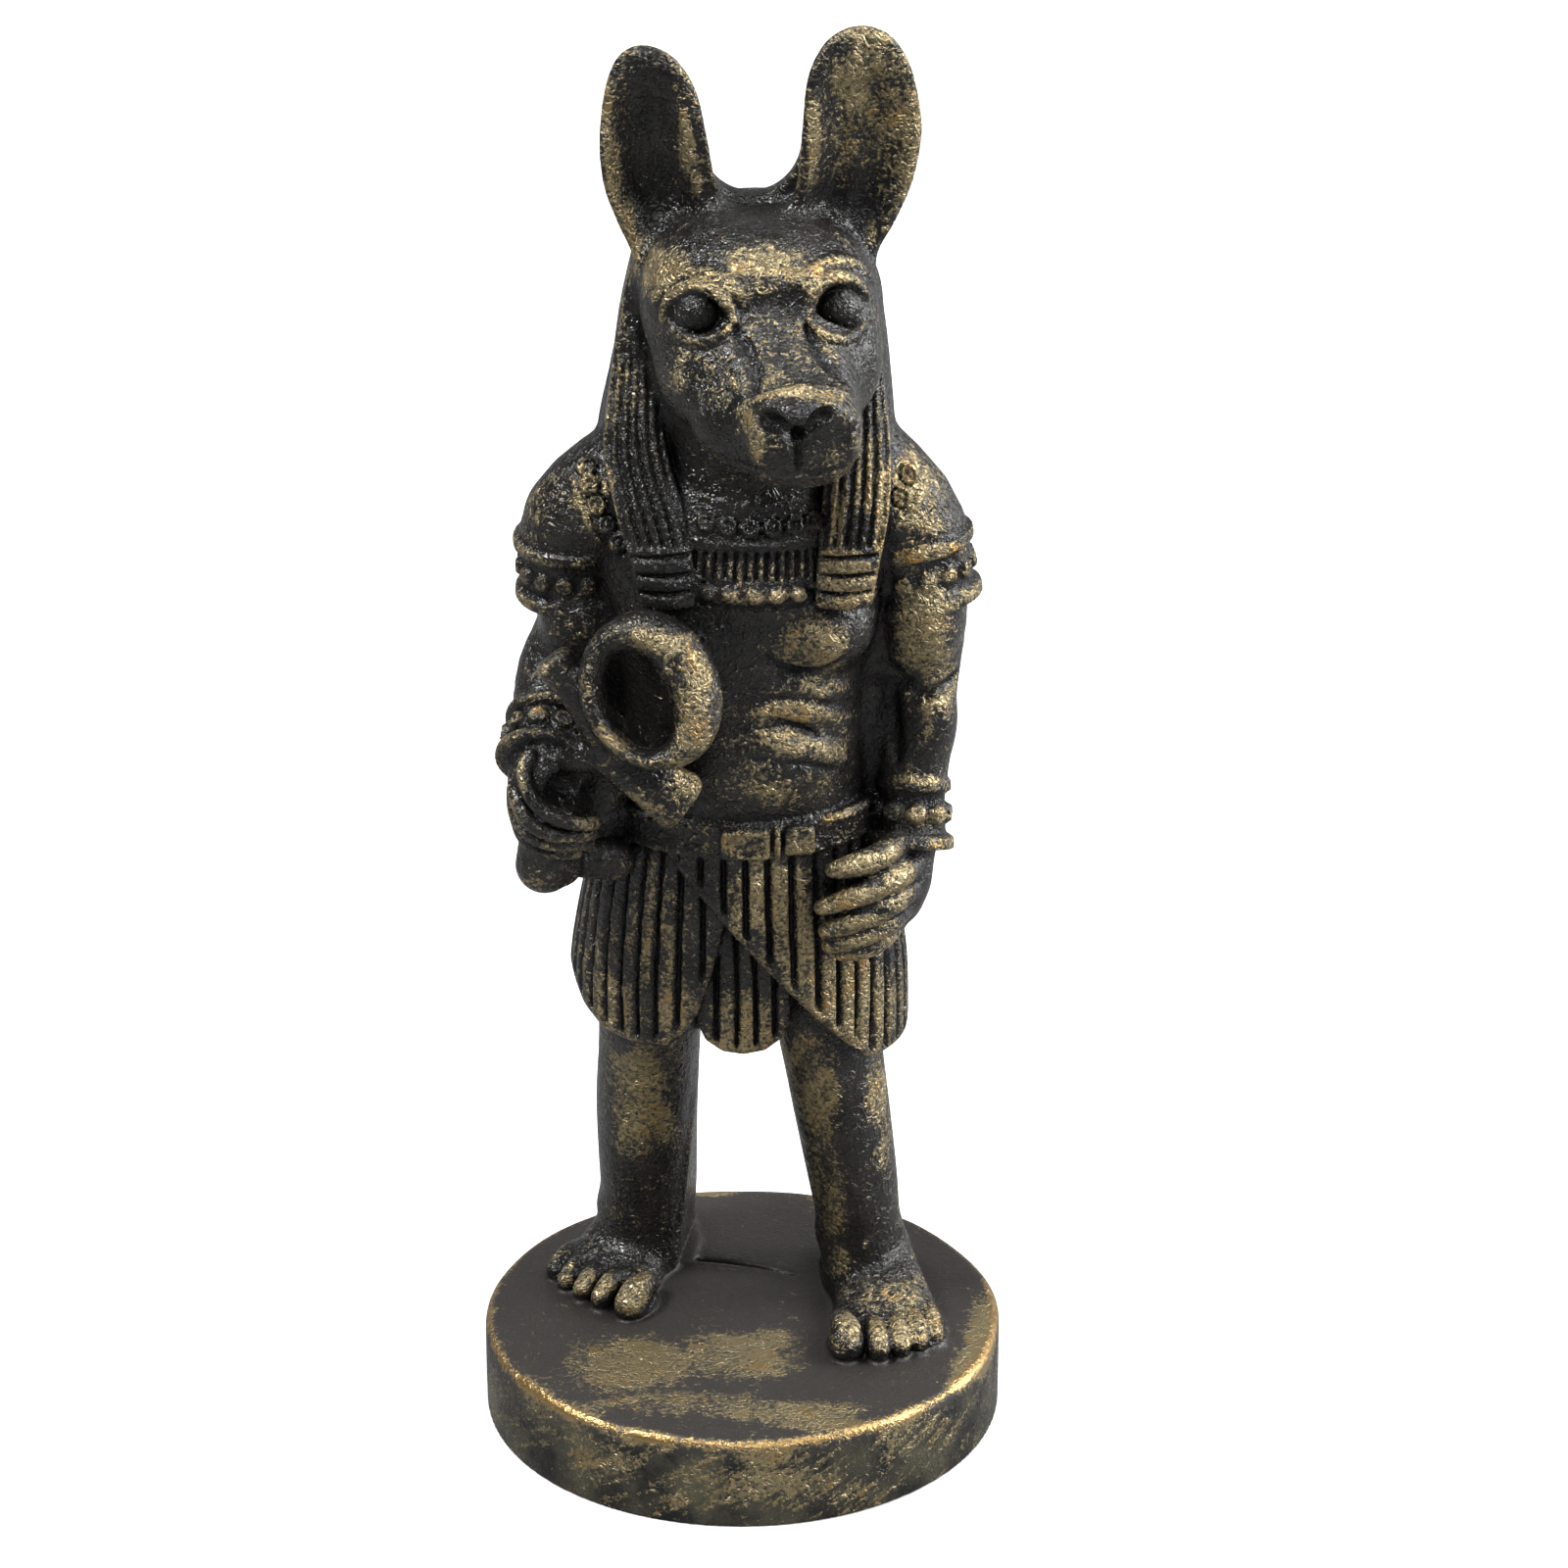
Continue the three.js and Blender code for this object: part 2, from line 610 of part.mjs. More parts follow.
// The mouth: a shallow groove round the muzzle, cut by a thin bow.
function mouthBow() {
  const bow = new THREE.Shape();
  bow.absellipse(0, 0, 7, 9, 0, Math.PI);
  bow.lineTo(-4.3, 0);
  bow.absellipse(0, 0, 4.3, 6.4, Math.PI, 0, true);
  const geometry = new THREE.ExtrudeGeometry(bow, { depth: 0.55, bevelEnabled: false, curveSegments: 7 });
  geometry.rotateX(radians(6));
  const turn = radians(HEAD.turn);
  const place = new THREE.Matrix4().makeBasis(
    vec(Math.cos(turn), Math.sin(turn), 0),
    vec(Math.sin(turn), -Math.cos(turn), 0),
    vec(0, 0, -1),
  );
  geometry.applyMatrix4(place).translate(...headPoint(11.6, 0, -7.9));
  return solid(geometry);
}

function head() {
  const feature = (forward, right, up, halfSizes, turned = {}) =>
    egg(headPoint(forward, right, up), halfSizes, { turnZ: HEAD.turn, sides: 8, rows: 5, ...turned });
  const mirrored = (make) => [make(-1), make(1)];
  const sockets = mirrored((side) => feature(9.0, side * 5.6, 1.3, [2.8, 2.0, 2.0], { sides: 7, rows: 4 }));
  const eyes = mirrored((side) => feature(7.3, side * 5.2, 1.2, [2.0, 1.9, 1.6], { sides: 7, rows: 4 }));
  const brows = mirrored((side) =>
    limb(
      [
        [9.9, 2.0, 2.0, 0.7],
        [8.7, 4.2, 4.0, 1.0],
        [6.6, 6.8, 3.8, 1.0],
        [4.6, 8.6, 1.4, 0.6],
      ].map(([forward, right, up, radius]) => [...headPoint(forward, side * right, up), radius]),
      { sides: 5, steps: 4 },
    ),
  );
  const nose = feature(17.2, 0, -3.9, [2.9, 1.9, 1.5], { rows: 4 });
  const carved = skull().subtract(join(sockets)).subtract(mouthBow());
  return join(carved, eyes, brows, nose);
}

// An ear: a tall leaf with a hollow front, by stations of [z, x, y, half width, depth].
const EARS = {
  right: [
    [92.5, -4.4, 5.4, 4.2, 3.2],
    [96.3, -5.0, 5.4, 4.8, 3.2],
    [99.5, -6.3, 5.3, 4.4, 3.0],
    [103.2, -6.7, 5.2, 4.3, 2.8],
    [107.0, -6.9, 5.2, 3.7, 2.2],
    [109.4, -7.2, 5.2, 2.6, 1.5],
    [110.7, -7.6, 5.2, 1.1, 0.8],
  ],
  left: [
    [92.5, 6.6, 5.4, 4.0, 3.2],
    [96.3, 7.6, 5.4, 4.7, 3.2],
    [99.8, 8.9, 5.3, 4.8, 3.0],
    [104.0, 9.4, 5.2, 4.9, 2.8],
    [108.4, 9.3, 5.2, 4.3, 2.2],
    [111.0, 9.3, 5.2, 3.0, 1.5],
    [HEIGHT_PARTS, 9.4, 5.2, 1.2, 0.8],
  ],
};
const EAR_WALL = 1.3;
function ear(stations, turn) {
  const steps = 7;
  return loft(
    evenly(steps + 1, (k) => {
      const [z, x, y, half, deep] = between(stations, k / steps);
      const wall = Math.min(EAR_WALL, half * 0.6);
      const point = (wide, back) => vec(wide, back, 0).applyAxisAngle(vec(0, 0, 1), radians(turn)).add(vec(x, y, z));
      const outer = evenly(7, (i) => (i / 6) * Math.PI).map((a) => point(half * Math.cos(a), deep * Math.sin(a) - deep / 2));
      const inner = [150, 115, 90, 65, 30].map((degrees) => {
        const a = radians(degrees);
        return point((half - wall) * Math.cos(a), Math.max(deep - wall, 0.1) * Math.sin(a) - deep / 2 - 0.15);
      });
      return [...outer, ...inner];
    }),
  );
}

function figure() {
  return join(
    legs(),
    kilt(),
    belt(),
    trunk(),
    collar(),
    arms(),
    leftHand(),
    rightFist(),
    loopedCross(),
    column(HEADCLOTH, { sides: 16, steps: 6 }),
    [-1, 1].map((side) => lappet(side)),
    [-1, 1].map((side) => lappetEnd(side)),
    head(),
    ear(EARS.right, 4),
    ear(EARS.left, 13),
  );
}

// Joining leaves a few corners a hair apart. Along every edge shorter than this, the two become one.
const SHORTEST_EDGE = 0.01;
function withoutShortEdges(corners, faces) {
  const place = (i) => vec(corners[3 * i], corners[3 * i + 1], corners[3 * i + 2]);
  const same = evenly(corners.length / 3, (i) => i);
  const first = (i) => (same[i] === i ? i : first(same[i]));
  for (let f = 0; f < faces.length; f += 1) {
    const next = f % 3 === 2 ? f - 2 : f + 1;
    const [a, b] = [first(faces[f]), first(faces[next])];
    if (place(a).distanceTo(place(b)) < SHORTEST_EDGE) {
      same[b] = a;
    }
  }
  const kept = [];
  for (let f = 0; f < faces.length; f += 3) {
    const [a, b, c] = [first(faces[f]), first(faces[f + 1]), first(faces[f + 2])];
    if (a !== b && b !== c && c !== a) {
      kept.push(a, b, c);
    }
  }
  return kept;
}

// The finished casting as a geometry.
function casting() {
  const standing = figure().scale([partSize, partSize, partSize]).translate([0, 0, baseHeight]);
  const { vertProperties, triVerts, numProp } = base().add(standing).getMesh();
  const geometry = new THREE.BufferGeometry();
  geometry.setAttribute("position", new THREE.BufferAttribute(new Float32Array(vertProperties), numProp));
  geometry.setIndex(withoutShortEdges(vertProperties, triVerts));
  geometry.computeVertexNormals();
  return geometry;
}

const agedBronzePaint = new THREE.MeshStandardMaterial({ color: 0x3a3225, roughness: 0.45, metalness: 0.6 });
const figurine = new THREE.Mesh(casting(), agedBronzePaint);
figurine.name = "figurine";

const part = new THREE.Group();
part.add(figurine);
export default part;
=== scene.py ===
"""A standing jackal-headed figurine in painted resin: carved form, dry-brushed finish, plain studio."""

from collections import namedtuple
from math import cos, pi, radians, sin

import bmesh
import bpy
import numpy as np
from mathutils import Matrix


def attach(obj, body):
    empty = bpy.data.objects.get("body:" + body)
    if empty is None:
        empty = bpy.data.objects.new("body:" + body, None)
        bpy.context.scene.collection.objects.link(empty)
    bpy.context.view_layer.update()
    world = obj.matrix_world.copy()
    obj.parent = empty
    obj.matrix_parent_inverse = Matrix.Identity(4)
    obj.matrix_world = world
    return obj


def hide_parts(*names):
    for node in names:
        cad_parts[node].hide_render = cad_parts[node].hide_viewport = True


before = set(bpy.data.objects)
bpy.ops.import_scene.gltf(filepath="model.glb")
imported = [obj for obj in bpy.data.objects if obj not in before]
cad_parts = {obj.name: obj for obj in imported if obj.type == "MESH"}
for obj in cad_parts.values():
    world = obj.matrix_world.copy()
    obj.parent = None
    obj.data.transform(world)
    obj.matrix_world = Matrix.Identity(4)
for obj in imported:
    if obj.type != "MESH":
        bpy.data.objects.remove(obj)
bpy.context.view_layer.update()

bl_info = {
    "name": "Jackal-headed figurine",
    "version": (1, 0, 0),
    "blender": (4, 5, 0),
    "location": "View3D > Sidebar > Figurine",
    "description": "Carves, paints and lights a small standing figurine in painted resin",
    "category": "Object",
}

NODE = "figurine"
BODY = "root"
PIECE = "jackal_headed_figurine"

# The figurine is carved in parts of about a millimetre, of which its own height from the top of its base
# has this many.
PARTS_HIGH = 112.3
PART_M = 0.112 / PARTS_HIGH
PART_MM = 112 / PARTS_HIGH
BASE_HEIGHT_M = 0.008
BASE_RADIUS = 21.75 / PART_MM
BASE_HEIGHT = 8 / PART_MM
BASE_EDGE = 0.9
# The grid of clay: half its width and depth, and its top, in parts.
GRID_HALF = 22.6
GRID_TOP = 113.6
# Distances are kept up to this many parts from the surface.
FAR = 1.6
RAY_LENGTH = 60
TINY = 1e-6

# A form is its bounding corners and a function of x, y and z that gives the distance to its surface.
Form = namedtuple("Form", "low high distance")


def between(rows, share):
    """Smooth values between rows of numbers: the first row at share 0 and the last at share 1."""
    rows = np.asarray(rows, float)
    place = np.clip(np.asarray(share, float), 0, 1) * (len(rows) - 1)
    i = np.minimum(place.astype(int), len(rows) - 2)
    t = (place - i)[..., None]
    p, q, r, s = (rows[np.clip(i + k, 0, len(rows) - 1)] for k in (-1, 0, 1, 2))
    return q + t * (r - p + t * (2 * p - 5 * q + 4 * r - s + t * (3 * (q - r) + s - p))) / 2


def meet(a, b, soft):
    """The smaller of two distances, rounded over where they are alike."""
    if soft <= 0:
        return np.minimum(a, b)
    near = np.maximum(soft - np.abs(a - b), 0)
    return np.minimum(a, b) - near * near / (4 * soft)


def overlap(a, b, soft):
    """The larger of two distances, rounded over where they are alike."""
    return -meet(-a, -b, soft)


def ramp(value, low, high):
    """0 below low, 1 above high and smooth between."""
    t = np.clip((value - low) / (high - low), 0, 1)
    return t * t * (3 - 2 * t)


def hump(value, middle, width):
    """1 at the middle, falling off smoothly over a width on both sides."""
    return np.exp(-(((value - middle) / width) ** 2))


def groove(place, low, high):
    """1 in the middle of each groove and 0 between them, where place counts the grooves."""
    return 1 - ramp(np.abs(place % 1 - 0.5) * 2, low, high)


def from_turn(turn, middle):
    """Degrees from a middle direction, between -180 and 180."""
    return (turn - middle + 180) % 360 - 180


def unit(way):
    way = np.array(way, float)
    return way / np.linalg.norm(way)


class Clay:
    """A block of clay, kept as the distance from each point of a grid to the surface."""

    def __init__(self, low, high, cell):
        self.low = np.array(low, float)
        self.cell = cell
        counts = np.ceil((np.array(high) - self.low) / cell).astype(int) + 1
        self.field = np.full(counts, FAR, np.float32)

    def window(self, form):
        """The part of the grid that a form reaches, as slices and as x, y and z that broadcast."""
        low, high = np.array(form.low) - FAR - self.low, np.array(form.high) + FAR - self.low
        first = np.clip(np.floor(low / self.cell).astype(int), 0, None)
        last = np.minimum(np.ceil(high / self.cell).astype(int) + 1, self.field.shape)
        axes = []
        for k in range(3):
            line = (self.low[k] + self.cell * np.arange(first[k], last[k])).astype(np.float32)
            axes.append(line.reshape([-1 if i == k else 1 for i in range(3)]))
        return tuple(slice(a, b) for a, b in zip(first, last)), axes

    def add(self, form, soft=0.3):
        cut, axes = self.window(form)
        self.field[cut] = meet(self.field[cut], form.distance(*axes), soft)

    def carve(self, form, soft=0.2):
        cut, axes = self.window(form)
        self.field[cut] = overlap(self.field[cut], -form.distance(*axes), soft)

    def ray(self, start, way):
        """The point where a ray meets the surface."""
        points = start + np.arange(0, RAY_LENGTH, self.cell / 2)[:, None] * unit(way)
        index = np.round((points - self.low) / self.cell).astype(int)
        ok = np.all((index >= 0) & (index < self.field.shape), axis=1)
        value = np.full(len(points), FAR)
        value[ok] = self.field[tuple(index[ok].T)]
        return points[np.nonzero(value < 0)[0][0]]


def local(place, centre, m):
    """A place (x, y, z) measured from a centre along each column of a matrix."""
    p = [a - b for a, b in zip(place, centre)]
    return [m[0, k] * p[0] + m[1, k] * p[1] + m[2, k] * p[2] for k in range(3)]


def at_level(rows, z, key, columns):
    """Columns of some rows, read off at each z by the column that is the key."""
    return (np.interp(z.ravel(), rows[:, key], rows[:, k]).reshape(1, 1, -1) for k in columns)


def oval(parts, halves):
    """About the distance to an oval or an egg of half sizes round its middle."""
    near = np.sqrt(sum((part / half) ** 2 for part, half in zip(parts, halves)))
    steep = np.sqrt(sum((part / half**2) ** 2 for part, half in zip(parts, halves)))
    return near * (near - 1) / np.maximum(steep, TINY)


def rounded(px, py, a, b, square):
    """About the distance to an oval of half sizes a and b, squarer at its corners where square is over 2."""
    flat = np.sqrt(px**2 + py**2)
    near = flat if square == 2 else (np.abs(px) ** square + np.abs(py) ** square) ** (1 / square)
    steep = np.sqrt((px / a) ** 2 + (py / b) ** 2) / np.maximum(flat, TINY)
    return (near - 1) / np.maximum(steep, TINY)


def egg(centre, half, turn=(0, 0, 0)):
    """An egg by its centre and half sizes, turned in degrees about X, then Y, then Z."""
    centre, half, m = np.array(centre, float), np.array(half, float), turning(turn)
    reach = np.sqrt(m**2 @ half**2)
    return Form(centre - reach, centre + reach, lambda x, y, z: oval(local((x, y, z), centre, m), half))


def turning(degrees):
    """The matrix that turns about X, then Y, then Z."""
    a, b, c = np.radians(degrees)
    rx = np.array([[1, 0, 0], [0, np.cos(a), -np.sin(a)], [0, np.sin(a), np.cos(a)]])
    ry = np.array([[np.cos(b), 0, np.sin(b)], [0, 1, 0], [-np.sin(b), 0, np.cos(b)]])
    rz = np.array([[np.cos(c), -np.sin(c), 0], [np.sin(c), np.cos(c), 0], [0, 0, 1]])
    return rz @ ry @ rx


def ball(centre, radius):
    return egg(centre, (radius, radius, radius))


def limb(stations, steps=10):
    """A round limb along a smooth path of stations (x, y, z, radius)."""
    marks = between(stations, np.linspace(0, 1, steps + 1))
    points, radii = marks[:, :3], np.maximum(marks[:, 3], 0.05)
    wide = radii[:, None]

    def distance(x, y, z):
        out = np.full(np.broadcast_shapes(x.shape, y.shape, z.shape), FAR * 2, np.float32)
        for a, b, ra, rb in zip(points[:-1], points[1:], radii[:-1], radii[1:]):
            reach = max(ra, rb) + FAR
            low, high = np.minimum(a, b) - reach, np.maximum(a, b) + reach
            here = tuple(
                slice(*np.searchsorted(axis.ravel(), (low[k], high[k]))) for k, axis in enumerate((x, y, z))
            )
            if any(part.start >= part.stop for part in here):
                continue
            px, py, pz = x[here[0]] - a[0], y[:, here[1]] - a[1], z[:, :, here[2]] - a[2]
            way = b - a
            length = max(float(way @ way), 1e-9)
            t = np.clip((px * way[0] + py * way[1] + pz * way[2]) / length, 0, 1)
            gap = np.sqrt((px - t * way[0]) ** 2 + (py - t * way[1]) ** 2 + (pz - t * way[2]) ** 2)
            out[here] = np.minimum(out[here], gap - (ra + t * (rb - ra)))
        return out

    return Form((points - wide).min(0), (points + wide).max(0), distance)


def column(stations, shape=None, square=2, round_ends=0.0):
    """An upright body through stations (z, x, y, half width, half depth).

    shape gives how far the surface stands out, for a turn in degrees and z.
    """
    stations = np.array(stations, float)
    low_z, high_z = stations[0, 0], stations[-1, 0]
    rows = between(stations, np.linspace(0, 1, 200))
    wide, deep = rows[:, 3].max(), rows[:, 4].max()
    low = (rows[:, 1].min() - wide, rows[:, 2].min() - deep, low_z)
    high = (rows[:, 1].max() + wide, rows[:, 2].max() + deep, high_z)

    def distance(x, y, z):
        cx, cy, a, b = at_level(rows, z, 0, (1, 2, 3, 4))
        px, py = (x - cx) / a, (y - cy) / b
        d = rounded(px, py, a, b, square)
        if shape is not None:
            d = d - shape(np.degrees(np.arctan2(py, px)) % 360, z)
        return overlap(d, np.maximum(low_z - z, z - high_z), round_ends)

    return Form(low, high, distance)


def box(centre, half, turn, edge):
    """A box with rounded edges."""
    centre, m = np.array(centre, float), turning(turn)
    half = np.array(half, float) - edge
    reach = np.abs(m) @ (half + edge)

    def distance(x, y, z):
        q = [np.abs(part) - size for part, size in zip(local((x, y, z), centre, m), half)]
        outside = np.sqrt(sum(np.maximum(v, 0) ** 2 for v in q))
        inside = np.minimum(np.maximum(np.maximum(q[0], q[1]), q[2]), 0)
        return outside + inside - edge

    return Form(centre - reach, centre + reach, distance)


def outline(corners, near, far):
    """A slab between two depths with an outline of (x, z) corners."""
    corners = np.array(corners, float)
    low = (corners[:, 0].min(), near, corners[:, 1].min())
    high = (corners[:, 0].max(), far, corners[:, 1].max())

    def distance(x, y, z):
        px, pz = np.broadcast_arrays(x, z)
        best = np.full(px.shape, np.inf)
        inside = np.zeros(px.shape, bool)
        for last, corner in zip(np.roll(corners, 1, axis=0), corners):
            ex, ez = corner - last
            wx, wz = px - last[0], pz - last[1]
            t = np.clip((wx * ex + wz * ez) / (ex * ex + ez * ez), 0, 1)
            best = np.minimum(best, (wx - t * ex) ** 2 + (wz - t * ez) ** 2)
            crosses = (last[1] > pz) != (corner[1] > pz)
            inside ^= crosses & (px < ex * wz / (ez + 1e-12) + last[0])
        flat = np.where(inside, -np.sqrt(best), np.sqrt(best))
        return np.maximum(flat, np.maximum(near - y, y - far))

    return Form(low, high, distance)


def polygonise(clay):
    """The clay's surface as corners and quads, with a corner in each cell that the surface crosses."""
    field = clay.field
    inside = field < 0
    shape = np.array(field.shape)
    strides = np.array([shape[1] * shape[2], shape[2], 1])
    corner_cells, corner_points, faces = [], [], []
    for axis in range(3):
        low, high = [slice(None)] * 3, [slice(None)] * 3
        low[axis], high[axis] = slice(0, -1), slice(1, None)
        start = np.argwhere(inside[tuple(low)] != inside[tuple(high)])
        start = start[np.all((start > 0) & (start < shape - 1), axis=1)]
        stop = start.copy()
        stop[:, axis] += 1
        a, b = field[tuple(start.T)], field[tuple(stop.T)]
        point = start.astype(np.float32)
        point[:, axis] += a / (a - b)
        round_edge = []
        for du, dv in ((-1, -1), (0, -1), (0, 0), (-1, 0)):
            owner = start.copy()
            owner[:, (axis + 1) % 3] += du
            owner[:, (axis + 2) % 3] += dv
            round_edge.append(owner @ strides)
            corner_points.append(point)
        corner_cells += round_edge
        quad = np.stack(round_edge, axis=1)
        quad[a >= 0] = quad[a >= 0][:, ::-1]
        faces.append(quad)
    points = np.concatenate(corner_points)
    owners, which = np.unique(np.concatenate(corner_cells), return_inverse=True)
    count = np.bincount(which)
    corners = np.stack([np.bincount(which, points[:, k]) / count for k in range(3)], axis=1)
    return clay.low + corners * clay.cell, np.searchsorted(owners, np.concatenate(faces))


def beam(start, forward, rows, square, up=(0, 0, 1)):
    """A body along an axis, by rows of (along, right, up, half width, half height)."""
    fine = between(rows, np.linspace(0, 1, 120))
    ahead = unit(forward)
    right = unit(np.cross(ahead, up))
    axes = np.stack([ahead, right, np.cross(right, ahead)], axis=1)
    start = np.array(start, float)
    points = start + fine[:, :3] @ axes.T
    reach = np.maximum(fine[:, 3], fine[:, 4])[:, None]

    def distance(x, y, z):
        u, v, w = local((x, y, z), start, axes)
        cv, cw, a, b = (np.interp(u, fine[:, 0], fine[:, k]) for k in (1, 2, 3, 4))
        d = rounded((v - cv) / a, (w - cw) / b, a, b, square)
        return overlap(d, np.maximum(fine[0, 0] - u, u - fine[-1, 0]), 1.0)

    return Form((points - reach).min(0), (points + reach).max(0), distance)


def base(clay):
    """The round base, a little uneven, with a crease in its cast top behind the feet."""
    r, e = BASE_RADIUS, BASE_EDGE

    def distance(x, y, z):
        turn = np.arctan2(y, x)
        waver = 0.10 * np.sin(3 * turn + 0.4) * np.sin(5 * turn + 1.0) + 0.04 * np.sin(11 * turn)
        side = np.sqrt(x * x + y * y) - (r - 0.08) - waver * ramp(z, -7, -5)
        swell = 0.08 * np.sin(0.29 * x + 0.6 + 0.8 * np.sin(0.2 * y))
        swell = swell * np.sin(0.33 * y - 0.3 + 0.6 * np.sin(0.24 * x))
        top = z + 0.04 - swell
        a, b = np.maximum(side + e, 0), np.maximum(top + e, 0)
        body = np.sqrt(a * a + b * b) + np.minimum(np.maximum(side + e, top + e), 0) - e
        return np.maximum(body, -BASE_HEIGHT - z)

    clay.add(Form((-r, -r, -BASE_HEIGHT), (r, r, 0.2), distance), 0)
    bank = [(-5.2, 8.2, -0.25, 0.6), (-2.0, 7.7, -0.1, 0.6), (1.5, 6.7, -0.2, 0.5), (3.6, 5.9, -0.45, 0.4)]
    clay.add(limb(bank, 10), 0.4)
    cut = [(-5.6, 8.9, -0.35, 0.62), (-2.0, 8.3, -0.3, 0.58), (1.5, 7.3, -0.2, 0.48), (4.4, 6.2, 0.05, 0.26)]
    clay.carve(limb(cut, 12), 0.1)


def foot(clay, heel, ball_of_foot, side, toes):
    """A foot from its heel to the ball of the foot, with toes by (tip, radius, height)."""
    ahead = np.array([ball_of_foot[0] - heel[0], ball_of_foot[1] - heel[1], 0.0])
    length = np.linalg.norm(ahead)
    ahead /= length
    rows = [
        # along, right, middle height, half width, half height
        (-2.8, 0.0, 0.9, 1.2, 1.4),
        (-1.6, 0.0, 1.2, 3.2, 2.9),
        (0.5, 0.0, 1.5, 3.8, 4.0),
        (0.30 * length, -0.3 * side, 1.2, 3.7, 4.0),
        (0.55 * length, -0.5 * side, 0.6, 4.1, 3.2),
        (0.80 * length, -0.5 * side, 0.1, 4.6, 2.5),
        (length, -0.3 * side, -0.3, 4.3, 1.9),
        (length + 1.0, -0.1 * side, -0.6, 3.4, 1.2),
    ]
    clay.add(beam((heel[0], heel[1], 0), ahead, rows, 2.3), 0.9)
    turn = (0, 0, np.degrees(np.arctan2(ahead[1], ahead[0])) + 90)
    for (tip_x, tip_y), radius, high in toes:
        tip = np.array([tip_x, tip_y, 0.0])
        # The sole under the toe, the toe itself and its nail.
        sole = tip - ahead * (radius + 1.2) + (0, 0, 0.1)
        clay.add(egg(sole, (radius * 1.1, radius + 1.3, 0.9), turn), 0.3)
        back = tip - ahead * 4.8 + (0, 0, high * 0.85)
        knuckle = tip - ahead * 2.6 + (0, 0, high)
        end = tip - ahead * radius * 0.9 + (0, 0, high * 0.62)
        clay.add(limb([(*back, radius * 0.7), (*knuckle, radius * 0.95), (*end, radius)], 7), 0.25)
        nail = tip - ahead * radius * 0.6 + (0, 0, high * 0.62 + radius * 0.95)
        clay.carve(egg(nail, (radius * 0.5, radius * 0.55, 0.14), (32, 0, turn[2])), 0.08)


RIGHT_LEG = [
    (0, -8.7, 9.8, 3.8, 4.3),
    (5, -8.6, 9.7, 3.5, 4.1),
    (10, -8.5, 9.4, 3.8, 4.4),
    (16, -8.3, 8.7, 4.1, 4.8),
    (22, -7.9, 7.5, 4.2, 4.9),
    (28, -7.4, 6.5, 4.6, 5.3),
    (34, -7.0, 6.0, 5.0, 5.6),
]
LEFT_LEG = [
    (0, 10.4, 4.8, 3.5, 4.3),
    (5, 10.0, 4.6, 3.4, 4.1),
    (10, 9.4, 4.6, 3.75, 4.4),
    (16, 8.5, 4.8, 4.0, 4.7),
    (22, 7.6, 5.2, 4.25, 4.9),
    (28, 6.7, 5.5, 4.6, 5.4),
    (34, 6.2, 5.8, 5.0, 5.8),
]
WEB = [
    (-1, -6.9, 12.2, 2.9, 4.2),
    (12, -6.8, 12.0, 2.9, 4.2),
    (28, -6.2, 10.8, 2.9, 4.4),
    (34, -6.0, 10.4, 2.9, 4.4),
]
RIGHT_TOES = [
    ((-10.0, -1.9), 1.4, 1.65),
    ((-12.3, -0.2), 0.92, 1.6),
    ((-13.9, 1.4), 0.88, 1.5),
    ((-15.3, 3.1), 0.84, 1.4),
    ((-16.3, 5.0), 0.82, 1.3),
]
LEFT_TOES = [
    ((9.0, -8.9), 1.45, 1.7),
    ((11.6, -9.0), 0.95, 1.65),
    ((13.4, -8.3), 0.9, 1.6),
    ((14.9, -7.3), 0.86, 1.5),
    ((16.2, -6.0), 0.84, 1.4),
]


def leg_shape(knee):
    """Calf behind, shin in front, a soft knee at a height and the bones of the ankle."""

    def shape(turn, z):
        ahead = from_turn(turn, 270)
        calf = hump(from_turn(turn, 80), 0, 55) * hump(z, 16, 6) * 0.5
        shin = hump(ahead, 0, 22) * hump(z, 13, 8) * 0.22
        cap = hump(ahead, 0, 30) * hump(z, knee, 3.0) * 0.45
        under = hump(ahead, 0, 34) * hump(z, knee - 4.2, 1.6) * -0.12
        ankle = hump(from_turn(turn, 0), 0, 22) + hump(from_turn(turn, 180), 0, 22)
        return calf + shin + cap + under + ankle * hump(z, 5.0, 1.6) * 0.45

    return shape


def legs(clay):
    clay.add(column(RIGHT_LEG, leg_shape(24.5)), 0.6)
    clay.add(column(LEFT_LEG, leg_shape(24.0)), 0.6)
    clay.add(column(WEB, None, 6), 0.5)
    foot(clay, (-7.4, 12.8), (-12.0, 3.2), -1, RIGHT_TOES)
    foot(clay, (10.4, 8.2), (12.3, -6.4), 1, LEFT_TOES)

    def inner_side(x, y, z):
        side = (-5.5 + 0.103 * (z - 7.4) + 0.169 * (y - 4) - x) / 1.02
        return np.maximum(side, 0.25 - z)

    # The right leg and foot are cut flat on the side towards the other leg.
    clay.carve(Form((-8.6, -1.0, 0.25), (1.2, 20.0, 33.0), inner_side), 0.12)


KILT = [
    (24.2, -0.6, 5.7, 13.7, 10.0),
    (26.5, -0.6, 5.7, 13.8, 10.0),
    (32, -0.6, 5.6, 13.6, 10.0),
    (39, -0.5, 5.2, 12.5, 9.4),
    (45.8, -0.1, 5.0, 11.3, 8.7),
]
PLEATS = 44
PLEAT_DEPTH = 0.6


